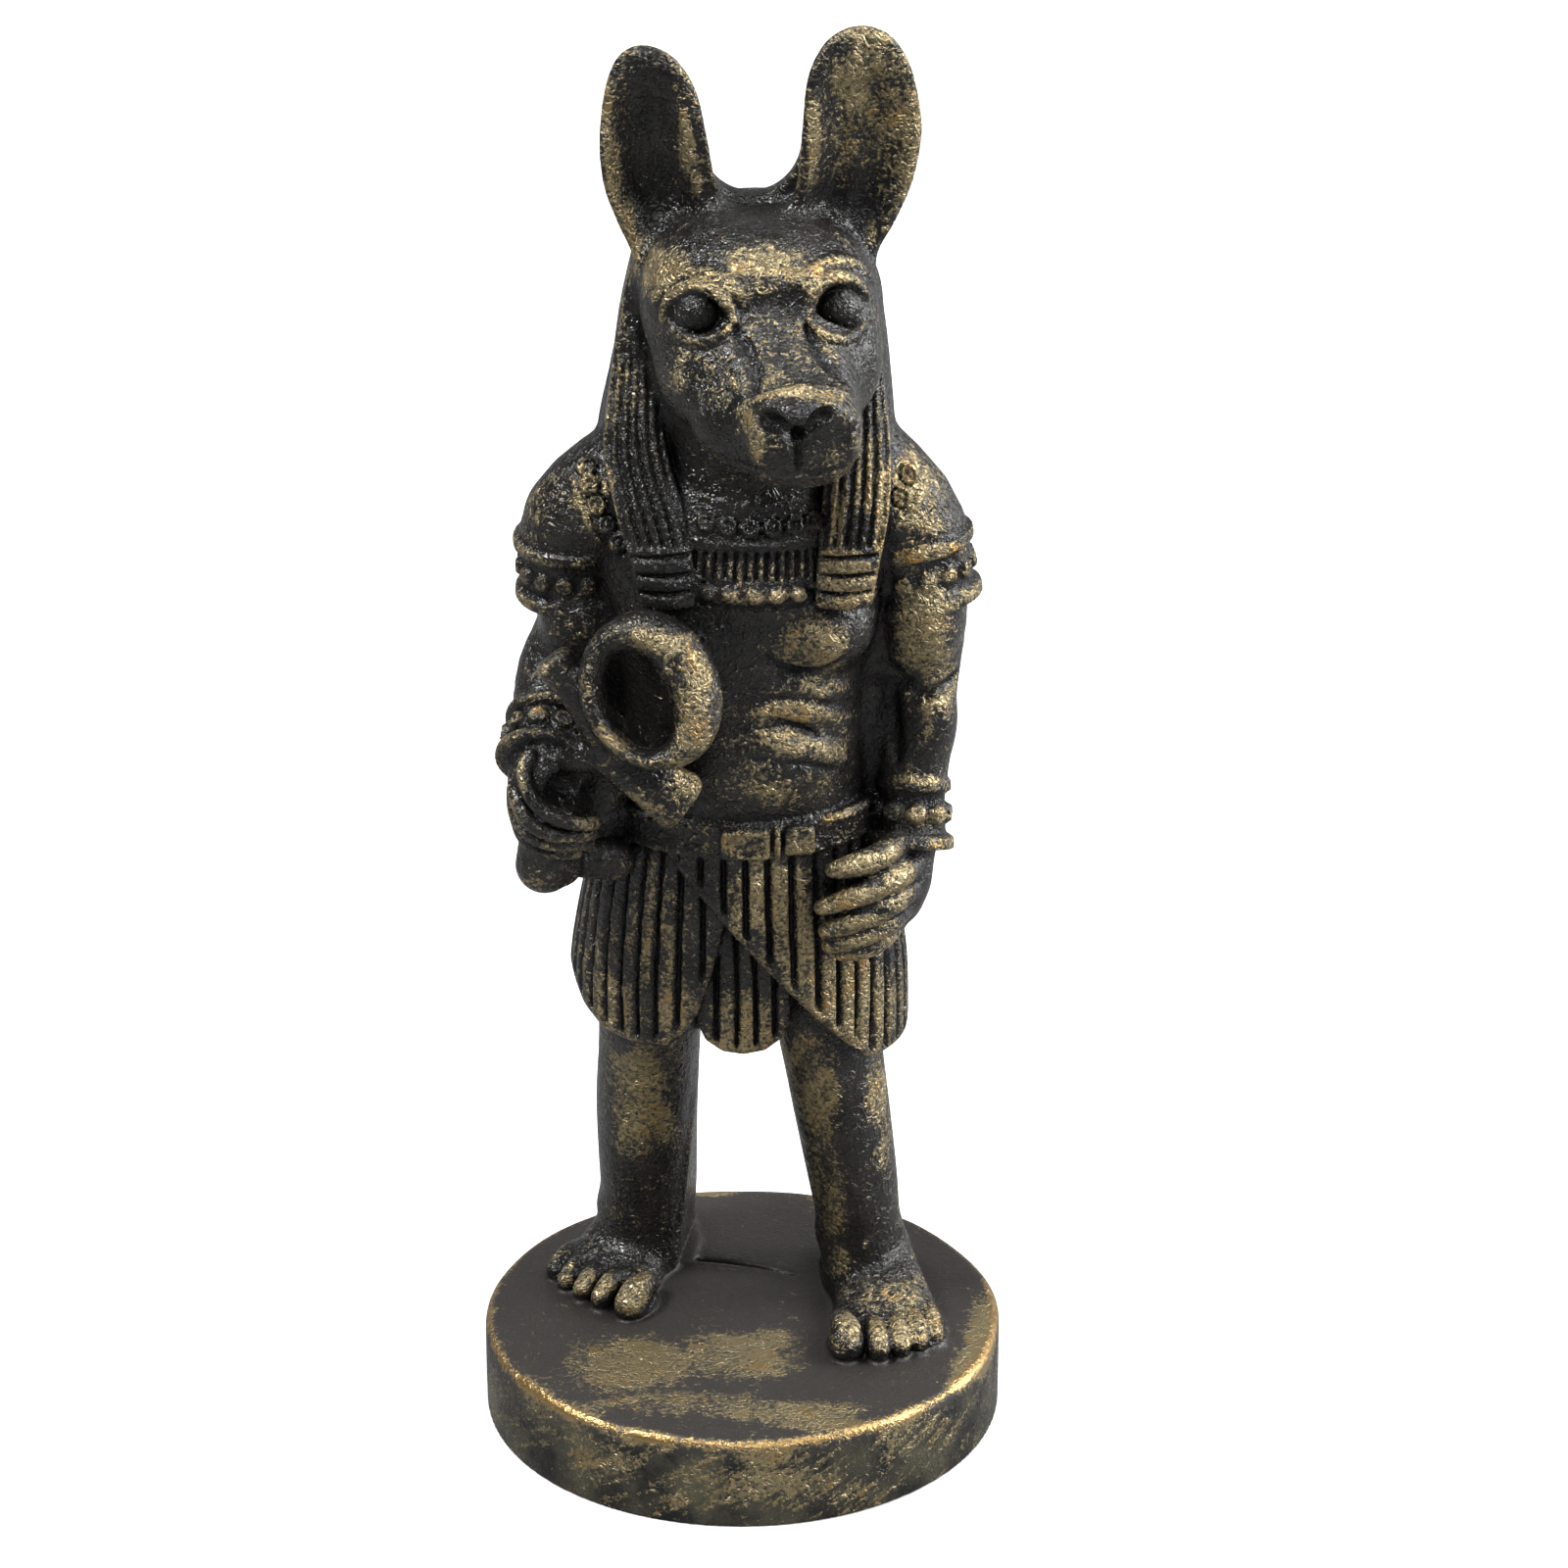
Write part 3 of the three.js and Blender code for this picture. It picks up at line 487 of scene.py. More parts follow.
def pleated(rows, trim, shift=0.0):
    """A layer of the kilt, trimmed to an outline, with grooves that stop short of its edge."""
    cloth = column(rows, None, round_ends=0.5)

    def distance(x, y, z):
        edge = np.maximum(trim(x, y, z), 24.3 - z)
        d = overlap(cloth.distance(x, y, z), edge, 0.8)
        turn = np.arctan2((y - 5.5) * 1.37, x + 0.5)
        drift = 0.07 * np.sin(turn * 9 + 1.0) + 0.05 * np.sin(z * 0.2 + turn * 5)
        pleat = groove(turn / (2 * pi) * PLEATS + shift + drift, 0.12, 0.38)
        return d + PLEAT_DEPTH * pleat * ramp(-edge, 0.45, 1.0) * ramp(-z, -45.2, -44.2)

    return Form(cloth.low, cloth.high, distance)


HEM = [
    (-20, 20), (-4, 20), (-5.4, 26.9), (-7.4, 26.7), (-9.4, 26.6),
    (-11.6, 27.0), (-13.2, 28.2), (-14.4, 30.2), (-20, 34),
]
BESIDE_TAB = [
    (-0.6, 41), (-2.4, 33.5), (-3.5, 30.2), (-4.9, 28.0), (-6.0, 27.2),
    (-6.0, 20), (13.4, 20), (13.4, 23.6), (9.6, 27.6),
]
UPPER_END = [(-7.6, 46.3), (1.15, 35.6), (9.2, 25.9), (10.0, 24.9), (11.0, 24.2), (17, 23.0), (17, 46.3)]
TAB_END = [
    (-3.5, 42), (-3.6, 28.6), (-3.0, 27.2), (-1.6, 26.2), (0.2, 25.9),
    (2.0, 26.2), (3.4, 27.2), (4.0, 28.6), (4.6, 42),
]


def kilt(clay):
    """Three layers: the lower one, the upper one with its slanting edge and the tab that hangs between."""
    beside, hem = outline(BESIDE_TAB, -14, 4.4), outline(HEM, -14, 22)

    def lower_trim(x, y, z):
        return np.maximum(-beside.distance(x, y, z), -hem.distance(x, y, z))

    def layer(down, wider, deeper):
        return [(z - down, x, y, a + wider, b + deeper) for z, x, y, a, b in KILT]

    clay.add(pleated(layer(0, 0, 0), lower_trim), 0.15)
    clay.add(pleated(layer(0, 0.75, 0.85), outline(UPPER_END, -14, 6.5).distance), 0.1)
    clay.add(pleated(layer(0.2, -1.0, -1.0), outline(TAB_END, -14, 3.0).distance, 0.5), 0.1)


def belt(clay):
    ring = [(44.6, 0.0, 5.0, 11.9, 9.5), (46.1, 0.0, 5.0, 11.9, 9.5), (47.6, 0.0, 5.0, 11.6, 9.3)]

    def shape(turn, z):
        rims = hump(z, 45.0, 0.28) + hump(z, 47.2, 0.28)
        return 0.2 * rims + 0.05 * np.sin(np.radians(turn) * 11 + z * 1.4)

    clay.add(column(ring, shape, round_ends=0.3), 0.1)
    # The plate of the knot with its sunk face, the cord beside it and the end of the belt.
    front = -4.55
    clay.add(box((0.4, front + 0.6, 46.0), (2.05, 1.0, 1.3), (0, 0, 1), 0.3), 0.08)
    clay.carve(box((0.4, front - 0.4, 46.0), (1.6, 0.22, 0.85), (0, 0, 1), 0.15), 0.1)
    clay.add(box((2.95, front + 0.7, 46.1), (0.28, 1.0, 1.4), (0, 0, 4), 0.15), 0.05)
    clay.add(box((4.7, front + 1.0, 46.2), (1.25, 1.0, 1.25), (0, 0, 9), 0.3), 0.08)


TRUNK = [
    (44, 0, 5.0, 10.6, 8.5),
    (50, 0, 5.0, 10.5, 9.0),
    (56, 0.1, 5.0, 10.4, 8.6),
    (62, 0.2, 5.0, 11.2, 8.8),
    (68, 0.4, 5.2, 12.4, 9.2),
    (73, 0.6, 5.6, 11.6, 8.6),
    (77, 0.9, 5.8, 8.4, 7.2),
    (82, 1.2, 5.0, 6.4, 6.2),
]


# Soft ribs, then the creases between them and under the chest, by marks (x, z).
RIBS = (
    [(1.7, 57.9), (4.8, 58.0), (7.8, 57.7)],
    [(0.6, 55.8), (2.9, 56.2), (5.4, 56.0), (8.0, 55.0)],
    [(1.2, 53.5), (3.5, 52.9), (5.7, 52.5), (7.8, 51.7)],
)
TRUNK_CREASES = (
    ([(2.2, 60.7), (3.1, 59.9), (4.6, 59.3), (7.0, 59.5), (8.6, 60.7)], 0.42),
    ([(2.0, 56.9), (4.6, 57.0), (7.4, 56.4)], 0.2),
    ([(2.4, 55.0), (4.5, 54.5), (6.5, 53.6)], 0.34),
    ([(1.0, 51.6), (3.5, 51.2), (5.7, 51.0), (7.8, 50.6)], 0.2),
)


def trunk(clay):
    """Chest, belly and ribs."""
    clay.add(column(TRUNK), 0.5)
    for side, x in ((-1, -3.9), (1, 6.3)):
        clay.add(egg((x, 0.6, 63.9), (4.5, 5.0, 4.0), (10, 0, side * 18)), 1.4)
    clay.carve(limb([(1.5, -4.6, 69, 0.35), (1.4, -4.9, 65, 0.45), (1.3, -4.6, 61.4, 0.3)], 6), 0.7)
    clay.add(egg((1.1, 1.0, 52.0), (6.8, 5.6, 5.4)), 1.6)
    for marks in RIBS:
        clay.add(relief(clay, marks, 1.25, 0.85), 0.9)
    for marks, radius in TRUNK_CREASES:
        clay.carve(relief(clay, marks, radius, -0.1), 0.4)


LEFT_ARM = [
    (8.0, 6.8, 75.2, 5.2),
    (13.2, 6.0, 69.6, 5.0),
    (14.4, 5.6, 63.0, 4.1),
    (14.4, 5.2, 56.5, 3.4),
    (14.1, 4.0, 50.5, 3.1),
    (13.9, 2.2, 45.5, 2.6),
    (13.2, 0.8, 40.8, 2.4),
]
RIGHT_ARM = [
    (-7.4, 6.8, 74.4, 5.0),
    (-12.9, 6.0, 69.4, 5.0),
    (-12.9, 6.2, 62.0, 3.6),
    (-14.4, 4.6, 57.0, 3.9),
    (-15.6, -0.4, 54.2, 3.0),
    (-15.9, -4.2, 51.8, 2.7),
]
# How far the rims of a band stand over its middle, and how far under them the beads have their middles.
RIM_STEP = 0.65
BEAD_STEP = 0.72


def band(clay, path, share_from, share_to, radius, beads, bead, start, flare=0.0):
    """A band round a limb: two rims with a row of ringed beads between them."""
    first, middle, last = between(path, np.array([share_from, (share_from + share_to) / 2, share_to]))[:, :3]
    wide = np.linalg.norm(last - first) / 2
    axis = unit(last - first)

    def distance(x, y, z):
        p = [x - middle[0], y - middle[1], z - middle[2]]
        along = p[0] * axis[0] + p[1] * axis[1] + p[2] * axis[2]
        out = np.sqrt(np.maximum(p[0] ** 2 + p[1] ** 2 + p[2] ** 2 - along**2, 0))
        share = along / wide
        rims = RIM_STEP * ramp(np.abs(share), 0.52, 0.68)
        return overlap(out - (radius - RIM_STEP + rims + flare * share), np.abs(along) - wide, 0.25)

    clay.add(Form(middle - radius - wide - 1, middle + radius + wide + 1, distance), 0.1)
    side = unit(np.cross(axis, (0, 1, 0)))
    other = np.cross(axis, side)
    for i in range(beads):
        turn = 2 * pi * (i + start) / beads
        out = side * np.cos(turn) + other * np.sin(turn)
        centre = middle + out * (radius - BEAD_STEP)
        clay.add(ball(centre, bead), 0.05)
        clay.carve(ball(centre + out * bead, bead * 0.55), 0.06)
        clay.add(ball(centre + out * bead * 0.5, bead * 0.36), 0.04)


def arms(clay):
    for side in (-1, 1):
        clay.add(column([(46, side * 10.2, 6.4, 2.6, 4.0), (70, side * 9.6, 6.4, 4.0, 5.0)]), 0.6)
    clay.add(limb(LEFT_ARM, 22), 0.5)
    clay.add(limb(RIGHT_ARM, 22), 0.5)
    # Upper arm muscle and the forearm's edge.
    clay.add(egg((14.6, 3.4, 62.8), (3.2, 3.0, 4.6), (6, 0, 0)), 1.2)
    clay.add(egg((15.4, 3.2, 53.6), (2.2, 2.4, 3.8), (10, 0, 0)), 1.0)
    clay.add(egg((-13.2, 3.6, 62.4), (3.0, 3.0, 4.0)), 1.2)
    marks = [(12.4, 59.6), (13.6, 58.0), (15.1, 57.4), (16.6, 58.0), (17.6, 59.4)]
    clay.carve(relief(clay, marks, 0.5, -0.1), 0.5)
    clay.carve(relief(clay, [(12.3, 57.4), (12.5, 54.0), (12.7, 51.6)], 0.6), 0.7)
    band(clay, LEFT_ARM, 0.18, 0.325, 5.2, 15, 0.82, 0.25)
    band(clay, RIGHT_ARM, 0.21, 0.355, 5.2, 15, 0.82, 0.25)
    band(clay, LEFT_ARM, 0.73, 0.91, 3.45, 9, 0.9, 0.1, 0.4)
    band(clay, RIGHT_ARM, 0.74, 0.92, 3.8, 10, 0.9, 0.1, 0.2)
    # The crease of the elbow.
    clay.carve(relief(clay, [(10.6, 58.6), (12.6, 58.2), (14.6, 58.8)], 0.55, -0.3), 0.5)


OPEN_FINGERS = [
    [(13.0, -0.6, 44.4, 1.25), (11.2, -3.2, 44.2, 1.2), (8.6, -4.5, 43.9, 0.95), (7.4, -4.8, 43.8, 0.6)],
    [(13.9, -0.6, 42.4, 1.3), (12.4, -3.4, 42.4, 1.2), (9.6, -4.9, 41.6, 1.05), (6.6, -5.5, 40.8, 0.68)],
    [(13.9, -0.6, 40.6, 1.25), (12.4, -3.7, 40.5, 1.15), (9.6, -5.2, 39.5, 1.0), (6.9, -5.6, 38.7, 0.65)],
    [(13.5, -0.4, 38.9, 1.15), (12.0, -3.7, 38.6, 1.05), (9.4, -5.1, 37.8, 0.92), (7.2, -5.5, 37.3, 0.62)],
    [(13.0, 0.0, 37.5, 1.05), (11.6, -3.4, 37.0, 0.95), (9.9, -4.6, 36.5, 0.85), (8.2, -5.0, 36.3, 0.6)],
]


def left_hand(clay):
    clay.add(egg((12.9, 0.6, 40.8), (2.5, 3.0, 4.4), (0, 0, 10)), 0.8)
    for stations in OPEN_FINGERS:
        clay.add(limb(stations, 9), 0.12)


CLOSED_FINGERS = [
    [
        (-16.9, -5.5, 54.3), (-17.3, -6.5, 53.2), (-16.6, -7.6, 51.5),
        (-15.0, -8.2, 50.2), (-12.9, -7.8, 49.4), (-11.7, -6.8, 49.0),
    ],
    [
        (-18.0, -3.8, 52.6), (-18.1, -5.6, 51.0), (-17.1, -7.2, 49.5),
        (-15.4, -7.9, 48.6), (-13.4, -7.5, 48.2), (-12.0, -6.4, 47.9),
    ],
    [
        (-18.3, -3.2, 50.3), (-18.1, -5.0, 48.9), (-16.9, -6.6, 47.9),
        (-15.2, -7.3, 47.4), (-13.5, -6.9, 47.1), (-12.3, -5.9, 46.8),
    ],
    [
        (-18.1, -3.0, 47.7), (-17.5, -4.7, 46.8), (-16.2, -6.0, 46.3),
        (-14.7, -6.5, 46.2), (-13.3, -5.9, 46.0),
    ],
]


def fist(clay):
    """The back of the right hand over the fingers, which close around the stem of the cross."""
    clay.add(egg((-15.7, -2.6, 51.2), (2.9, 3.8, 4.6), (12, 0, 0)), 0.6)
    clay.add(egg((-15.0, -3.6, 48.4), (3.0, 3.7, 3.0)), 0.4)
    clay.carve(egg((-13.5, -7.2, 51.6), (2.3, 2.6, 1.9), (15, 0, 0)), 0.5)
    for joints in CLOSED_FINGERS:
        shares = np.linspace(0, 1, len(joints))
        clay.add(limb([(*p, 0.68 - 0.12 * s) for p, s in zip(joints, shares)], 18), 0.05)
    # The end of the stem stands out under the hand and is cast against the kilt.
    clay.add(limb([(-15.6, -4.0, 46.0, 2.4), (-15.9, -4.2, 44.1, 2.4)], 6), 0.15)
    clay.add(limb([(-14.4, -2.6, 44.0, 1.6), (-10.4, -1.4, 43.2, 1.8)], 6), 0.4)
    # Between the hand and the body the casting is solid, far back.
    clay.add(egg((-11.6, 1.4, 49.0), (3.0, 3.4, 6.5)), 0.6)


STEM = [
    (-14.8, -3.8, 44.0, 2.0),
    (-14.6, -4.0, 50.4, 1.6),
    (-13.0, -5.4, 54.0, 1.6),
    (-10.0, -6.8, 56.0, 1.5),
]


def looped_cross(clay):
    """A loop, the arms of its cross bar and the stem that runs through the fist."""
    centre, m = np.array([-7.1, -7.8, 61.2]), turning((-18, -23, 0))
    # Half sizes of the loop and its hole, how far the hole is off the middle, and half the thickness.
    half_wide, half_high, hole_wide, hole_high = 5.6, 6.3, 2.4, 4.2
    hole_shift, hole_drop, thick = -1.25, -0.4, 2.3
    line_wide, line_high = (half_wide + hole_wide) / 2, (half_high + hole_high) / 2

    def distance(x, y, z):
        u, v, w = local((x, y, z), centre, m)
        # The middle line and the half width of the loop at each turn.
        turn = np.arctan2(w / line_high, (u - hole_shift / 2) / line_wide)
        c, s = np.cos(turn), np.sin(turn)
        mx, mz = line_wide * c + hole_shift / 2, line_high * s + hole_drop / 2
        wide = np.hypot((half_wide - hole_wide) * c - hole_shift, (half_high - hole_high) * s - hole_drop) / 2
        nx, nz = c / line_wide, s / line_high
        off = ((u - mx) * nx + (w - mz) * nz) / np.hypot(nx, nz)
        return oval((off, v), (wide, thick)) * 0.9

    reach = np.array([7.5, 5.5, 8.0])
    clay.add(Form(centre - reach, centre + reach, distance), 0.25)
    # Each arm of the bar, from its root to its tip, with the half height of its end.
    for root, tip, end in (
        ((-10.2, -6.6, 56.2), (-15.2, -4.6, 62.8), 1.7),
        ((-11.2, -6.2, 55.6), (-4.3, -6.0, 50.2), 2.6),
    ):
        way = np.array(tip) - root
        length = np.linalg.norm(way)
        rows = [(0, 0, 0, 1.7, 1.8), (0.55 * length, 0, 0, 1.8, 0.82 * end), (length, 0, 0, 1.9, end)]
        clay.add(beam(root, way, rows, 3.0, (0.6, 0.25, 0.8)), 0.6)
    clay.add(limb(STEM, 14), 0.3)


HEADCLOTH = [
    (66, 0.3, 8.6, 11.8, 7.2),
    (72, 0.4, 8.4, 12.4, 7.8),
    (78, 0.5, 7.8, 12.0, 8.2),
    (83, 0.8, 7.2, 11.3, 8.2),
    (87.5, 1.0, 6.9, 10.6, 7.8),
    (92, 1.1, 6.8, 9.6, 6.8),
    (97.0, 1.3, 6.8, 5.2, 4.2),
]
STRANDS = 54


def headcloth(clay):
    """The headcloth, with strands that run down its sides and back."""

    def shape(turn, z):
        behind = ramp(np.abs(from_turn(turn, 270)), 78, 90)
        return -0.26 * groove(turn / 360 * STRANDS, 0.1, 0.5) * ramp(-z, -93, -89) * behind

    clay.add(column(HEADCLOTH, shape, round_ends=0.8), 0.5)


# The lappets by (distance from their middle line, y, z, half width, x of the middle line).
LAPPET = [
    (7.0, -4.75, 66.8, 2.3, 1.25),
    (7.4, -4.6, 70.4, 2.5, 1.25),
    (8.2, -3.6, 74.5, 2.7, 1.0),
    (8.9, -1.4, 79.0, 2.5, 0.6),
    (8.9, 0.8, 83.5, 2.0, 0.6),
    (8.9, 2.6, 88.5, 1.5, 0.8),
    (8.2, 4.4, 93.5, 1.1, 0.9),
]


def lappet(clay, side):
    """One of the two ends of the headcloth on the chest, striped, with grooves across its flat tip."""
    rows = between(LAPPET, np.linspace(0, 1, 60))
    bottom, top = LAPPET[0][2], LAPPET[-1][2]
    low, high = ((-14, -6, bottom), (0, 9, top)) if side < 0 else ((0, -6, bottom), (14, 9, top))

    def distance(x, y, z):
        off, front, half, origin = at_level(rows, z, 2, (0, 1, 3, 4))
        across = (x - origin - side * off) / half
        stripes = groove((across + 1) / 2 * 6, 0.12, 0.6) * ramp(z, 71.6, 72.2) * ramp(-z, -88, -84)
        surface = front + 0.75 * across**2 + 0.42 * stripes - 0.22 * ramp(-z, -71.9, -71.7)
        for height in (68.2, 69.7, 71.2):
            line = 1 - ramp(np.abs(z - height - 0.1 * across), 0.08, 0.3)
            surface = surface + 0.5 * line * ramp(1 - np.abs(across), 0.06, 0.2)
        d = np.maximum(surface - y, y - front - 5.0)
        d = overlap(d, np.abs(x - origin - side * off) - half, 0.4)
        return overlap(d, np.maximum(bottom - z, z - top), 0.3)

    clay.add(Form(low, high, distance), 0.12)


def collar(clay):
    """The broad collar, fluted in front and cut off on a slant below."""

    def shape(turn, z):
        flutes = groove(turn / 360 * 96 + 0.5, 0.1, 0.75) * ramp(-np.abs(from_turn(turn, 270)), -44, -38)
        return flutes * -0.5 * ramp(z, 68.6, 68.9) * ramp(-z, -71.6, -71.3)

    cloth = column([(z, x, y, a + 0.7, b + 0.7) for z, x, y, a, b in TRUNK[3:]], shape)
    slant = radians(50)

    def distance(x, y, z):
        below = (y + 5.0) * np.sin(slant) - (z - 66.6) * np.cos(slant)
        return overlap(cloth.distance(x, y, z), below, 0.3)

    clay.add(Form((-13.5, -6.0, 65.4), (14, 16, 82), distance), 0.1)


# The place that the figurine is seen from in the photograph, in parts.
VIEWPOINT = np.array([3.53, -469.6, 270.6])


def seen(clay, x, z, sink=0.0):
    """The surface point behind (x, 0, z) as it is seen from in front and a little above."""
    mark = np.array([x, 0.0, z])
    way = unit(mark - VIEWPOINT)
    return clay.ray(mark - way * 26, way) + way * sink


def relief(clay, marks, radius, sink=0.0, taper=True):
    """A thin line that follows the surface through marks (x, z), thinner towards its ends."""
    path = between(marks, np.linspace(0, 1, 4 * len(marks)))
    share = np.clip(np.linspace(0, 1, len(path)), 0.02, 0.98)
    thin = radius * (0.45 + 0.55 * np.sin(pi * share) ** 0.6 if taper else np.ones(len(path)))
    points = np.array([seen(clay, x, z, sink) for x, z in path])
    # The surface steps a little from one ray to the next.
    for _ in range(2):
        points[1:-1] = (points[:-2] + 2 * points[1:-1] + points[2:]) / 4
    return limb([(*p, r) for p, r in zip(points, thin)], len(points) - 1)


def ring_bead(clay, x, z, radius):
    """A bead in a ring of its own."""
    p = seen(clay, x, z)
    way = unit(p - VIEWPOINT)
    clay.carve(ball(p - way * 0.1, radius * 1.14), 0.12)
    clay.add(ball(p + way * 0.2, radius), 0.05)
    clay.carve(egg(p - way * (radius * 0.62), (radius * 0.62, radius * 0.85, radius * 0.62)), 0.05)
    clay.add(ball(p - way * (radius * 0.1), radius * 0.38), 0.04)


# The rims of the collar, by marks (x, z) and a radius, and its beads by (x, z).
COLLAR_RIMS = (
    ([(-3.5, 65.1), (-0.9, 64.75), (1.5, 64.6), (4.0, 64.65), (6.0, 65.0)], 0.2),
    ([(-3.4, 67.5), (-1.1, 67.25), (1.1, 67.15), (3.2, 67.2), (5.8, 67.5)], 0.16),
    ([(-3.4, 70.8), (-1.1, 70.4), (1.1, 70.25), (3.2, 70.35), (5.9, 70.9)], 0.24),
    ([(-3.0, 74.6), (-1.0, 74.0), (1.0, 73.8), (3.0, 73.9), (5.0, 74.3)], 0.26),
)
PENDANTS = ((-2.6, 66.3), (-0.8, 66.0), (1.1, 65.9), (2.95, 65.9), (4.75, 66.15))
THROAT_BEADS = ((-2.7, 72.4), (-1.0, 72.0), (0.8, 71.85), (2.6, 71.9), (4.4, 72.15), (5.9, 72.6))
SHOULDER_BEADS = (
    (-12.2, 77.2), (-12.0, 75.6), (-11.4, 73.9), (-10.6, 72.2), (-9.7, 70.6), (13.5, 76.6), (12.9, 74.6),
)
SHOULDER_RIMS = (
    [(-13.2, 77.8), (-13.2, 75.6), (-12.5, 73.4), (-11.7, 71.6), (-10.8, 70.0)],
    [(14.9, 77.4), (14.4, 74.8), (13.6, 73.0), (12.4, 72.0)],
)


def collar_beads(clay):
    for marks, radius in COLLAR_RIMS:
        clay.add(relief(clay, marks, radius, 0.02, False), 0.1)
    for x, z in PENDANTS:
        clay.add(ball(seen(clay, x, z, -0.1), 0.68), 0.03)
    for x, z in THROAT_BEADS:
        ring_bead(clay, x, z, 0.84)
    for x, z in SHOULDER_BEADS:
        ring_bead(clay, x, z, 0.85)
    for marks in SHOULDER_RIMS:
        clay.add(relief(clay, marks, 0.32, 0.05), 0.15)


HEAD = np.array([1.2, 3.2, 91.0])
HEAD_TURN = 13


def head_point(forward, right, up):
    """A place on the head, measured along the way it looks."""
    c, s = np.cos(radians(HEAD_TURN)), np.sin(radians(HEAD_TURN))
    x, y, z = HEAD
    return np.array([x + forward * s + right * c, y - forward * c + right * s, z + up])


SKULL = [
    (-7.6, 0.0, 0.2, 4.2, 3.6),
    (-5.0, 0.0, 0.3, 7.4, 5.8),
    (-2.0, 0.0, 0.0, 8.9, 6.9),
    (1.5, 0.0, -0.6, 9.4, 7.4),
    (5.0, 0.0, -1.7, 8.9, 7.5),
    (8.0, 0.0, -3.0, 7.5, 6.8),
]
MUZZLE = [
    (4.0, 0.0, -2.6, 8.0, 6.2),
    (8.0, -0.1, -3.9, 6.8, 5.4),
    (11.4, -0.2, -5.1, 5.6, 4.5),
    (14.4, -0.2, -5.8, 4.9, 3.7),
    (16.8, -0.2, -6.0, 4.5, 3.3),
    (18.1, -0.2, -6.0, 4.1, 3.0),
]
JAW = [
    (1.0, -0.2, -4.6, 7.6, 4.6),
    (5.0, -0.3, -5.8, 6.9, 4.6),
    (9.0, -0.3, -6.9, 5.7, 4.0),
    (12.5, -0.5, -7.8, 5.2, 3.1),
    (15.0, -0.4, -8.4, 4.2, 2.4),
    (16.6, -0.3, -8.6, 3.4, 1.8),
]


# Each eye by its middle (x, z) and its turn, with marks along both lids, the brow and the crease by the nose.
EYES = (
    (
        -3.3, 90.3, 2,
        [(-6.0, 89.8), (-5.6, 91.2), (-4.9, 92.0), (-3.7, 92.5), (-2.2, 92.2), (-1.1, 91.2), (-0.4, 89.6)],
        [(-5.5, 89.2), (-4.4, 88.3), (-2.9, 87.9), (-1.4, 88.4), (-0.5, 89.4)],
        [(-6.7, 91.4), (-5.6, 92.9), (-3.9, 93.7), (-2.1, 93.4), (-0.6, 92.6), (0.6, 91.0)],
        [(-0.4, 88.8), (0.5, 87.6), (1.1, 86.0), (1.25, 84.4), (0.9, 82.9)],
    ),
    (
        7.75, 90.6, 14,
        [(5.5, 90.2), (5.8, 91.8), (6.6, 92.9), (7.7, 93.3), (9.0, 92.9), (10.0, 91.7)],
        [(5.6, 89.6), (6.5, 88.5), (7.7, 88.0), (9.0, 88.3), (9.9, 89.4)],
        [(4.8, 91.0), (5.3, 93.0), (6.5, 94.3), (7.9, 94.7), (9.4, 94.2), (10.4, 93.0)],
        [(5.5, 89.2), (5.9, 87.6), (6.9, 86.0), (8.2, 84.7)],
    ),
)


def eye(clay, x, z, turn, upper, lower, brow, crease):
    """An eyeball between two lids, in a hollow under the edge of the brow."""
    skin = seen(clay, x, z)
    way = unit(skin - VIEWPOINT)
    lids = [relief(clay, upper, 0.66, -0.2), relief(clay, lower, 0.5, -0.1)]
    ridge = relief(clay, brow, 0.5, 0.08)
    clay.carve(relief(clay, crease, 0.5, -0.05), 0.7)
    clay.carve(egg(skin + way * 0.15, (2.1, 0.8, 1.75), (-14, 0, turn)), 0.4)
    clay.add(ridge, 0.5)
    clay.add(ball(skin + way * 1.55, 1.95), 0.04)
    for lid in lids:
        clay.add(lid, 0.2)


NOSE_EDGE = [(0.0, 81.9), (1.1, 82.7), (2.9, 83.3), (5.0, 83.8), (7.1, 83.7), (8.7, 83.1)]
NOSTRILS = ([(1.8, 81.4), (2.8, 80.9), (3.9, 80.3)], [(7.1, 81.9), (6.3, 81.2), (5.4, 80.4)])
CLEFT = [(4.55, 80.2), (4.65, 79.2), (4.7, 78.2), (4.65, 77.1)]
MOUTH = [(-0.2, 77.5), (1.0, 77.0), (2.7, 76.6), (4.6, 76.5), (6.6, 76.7), (7.9, 77.1), (8.6, 77.8)]


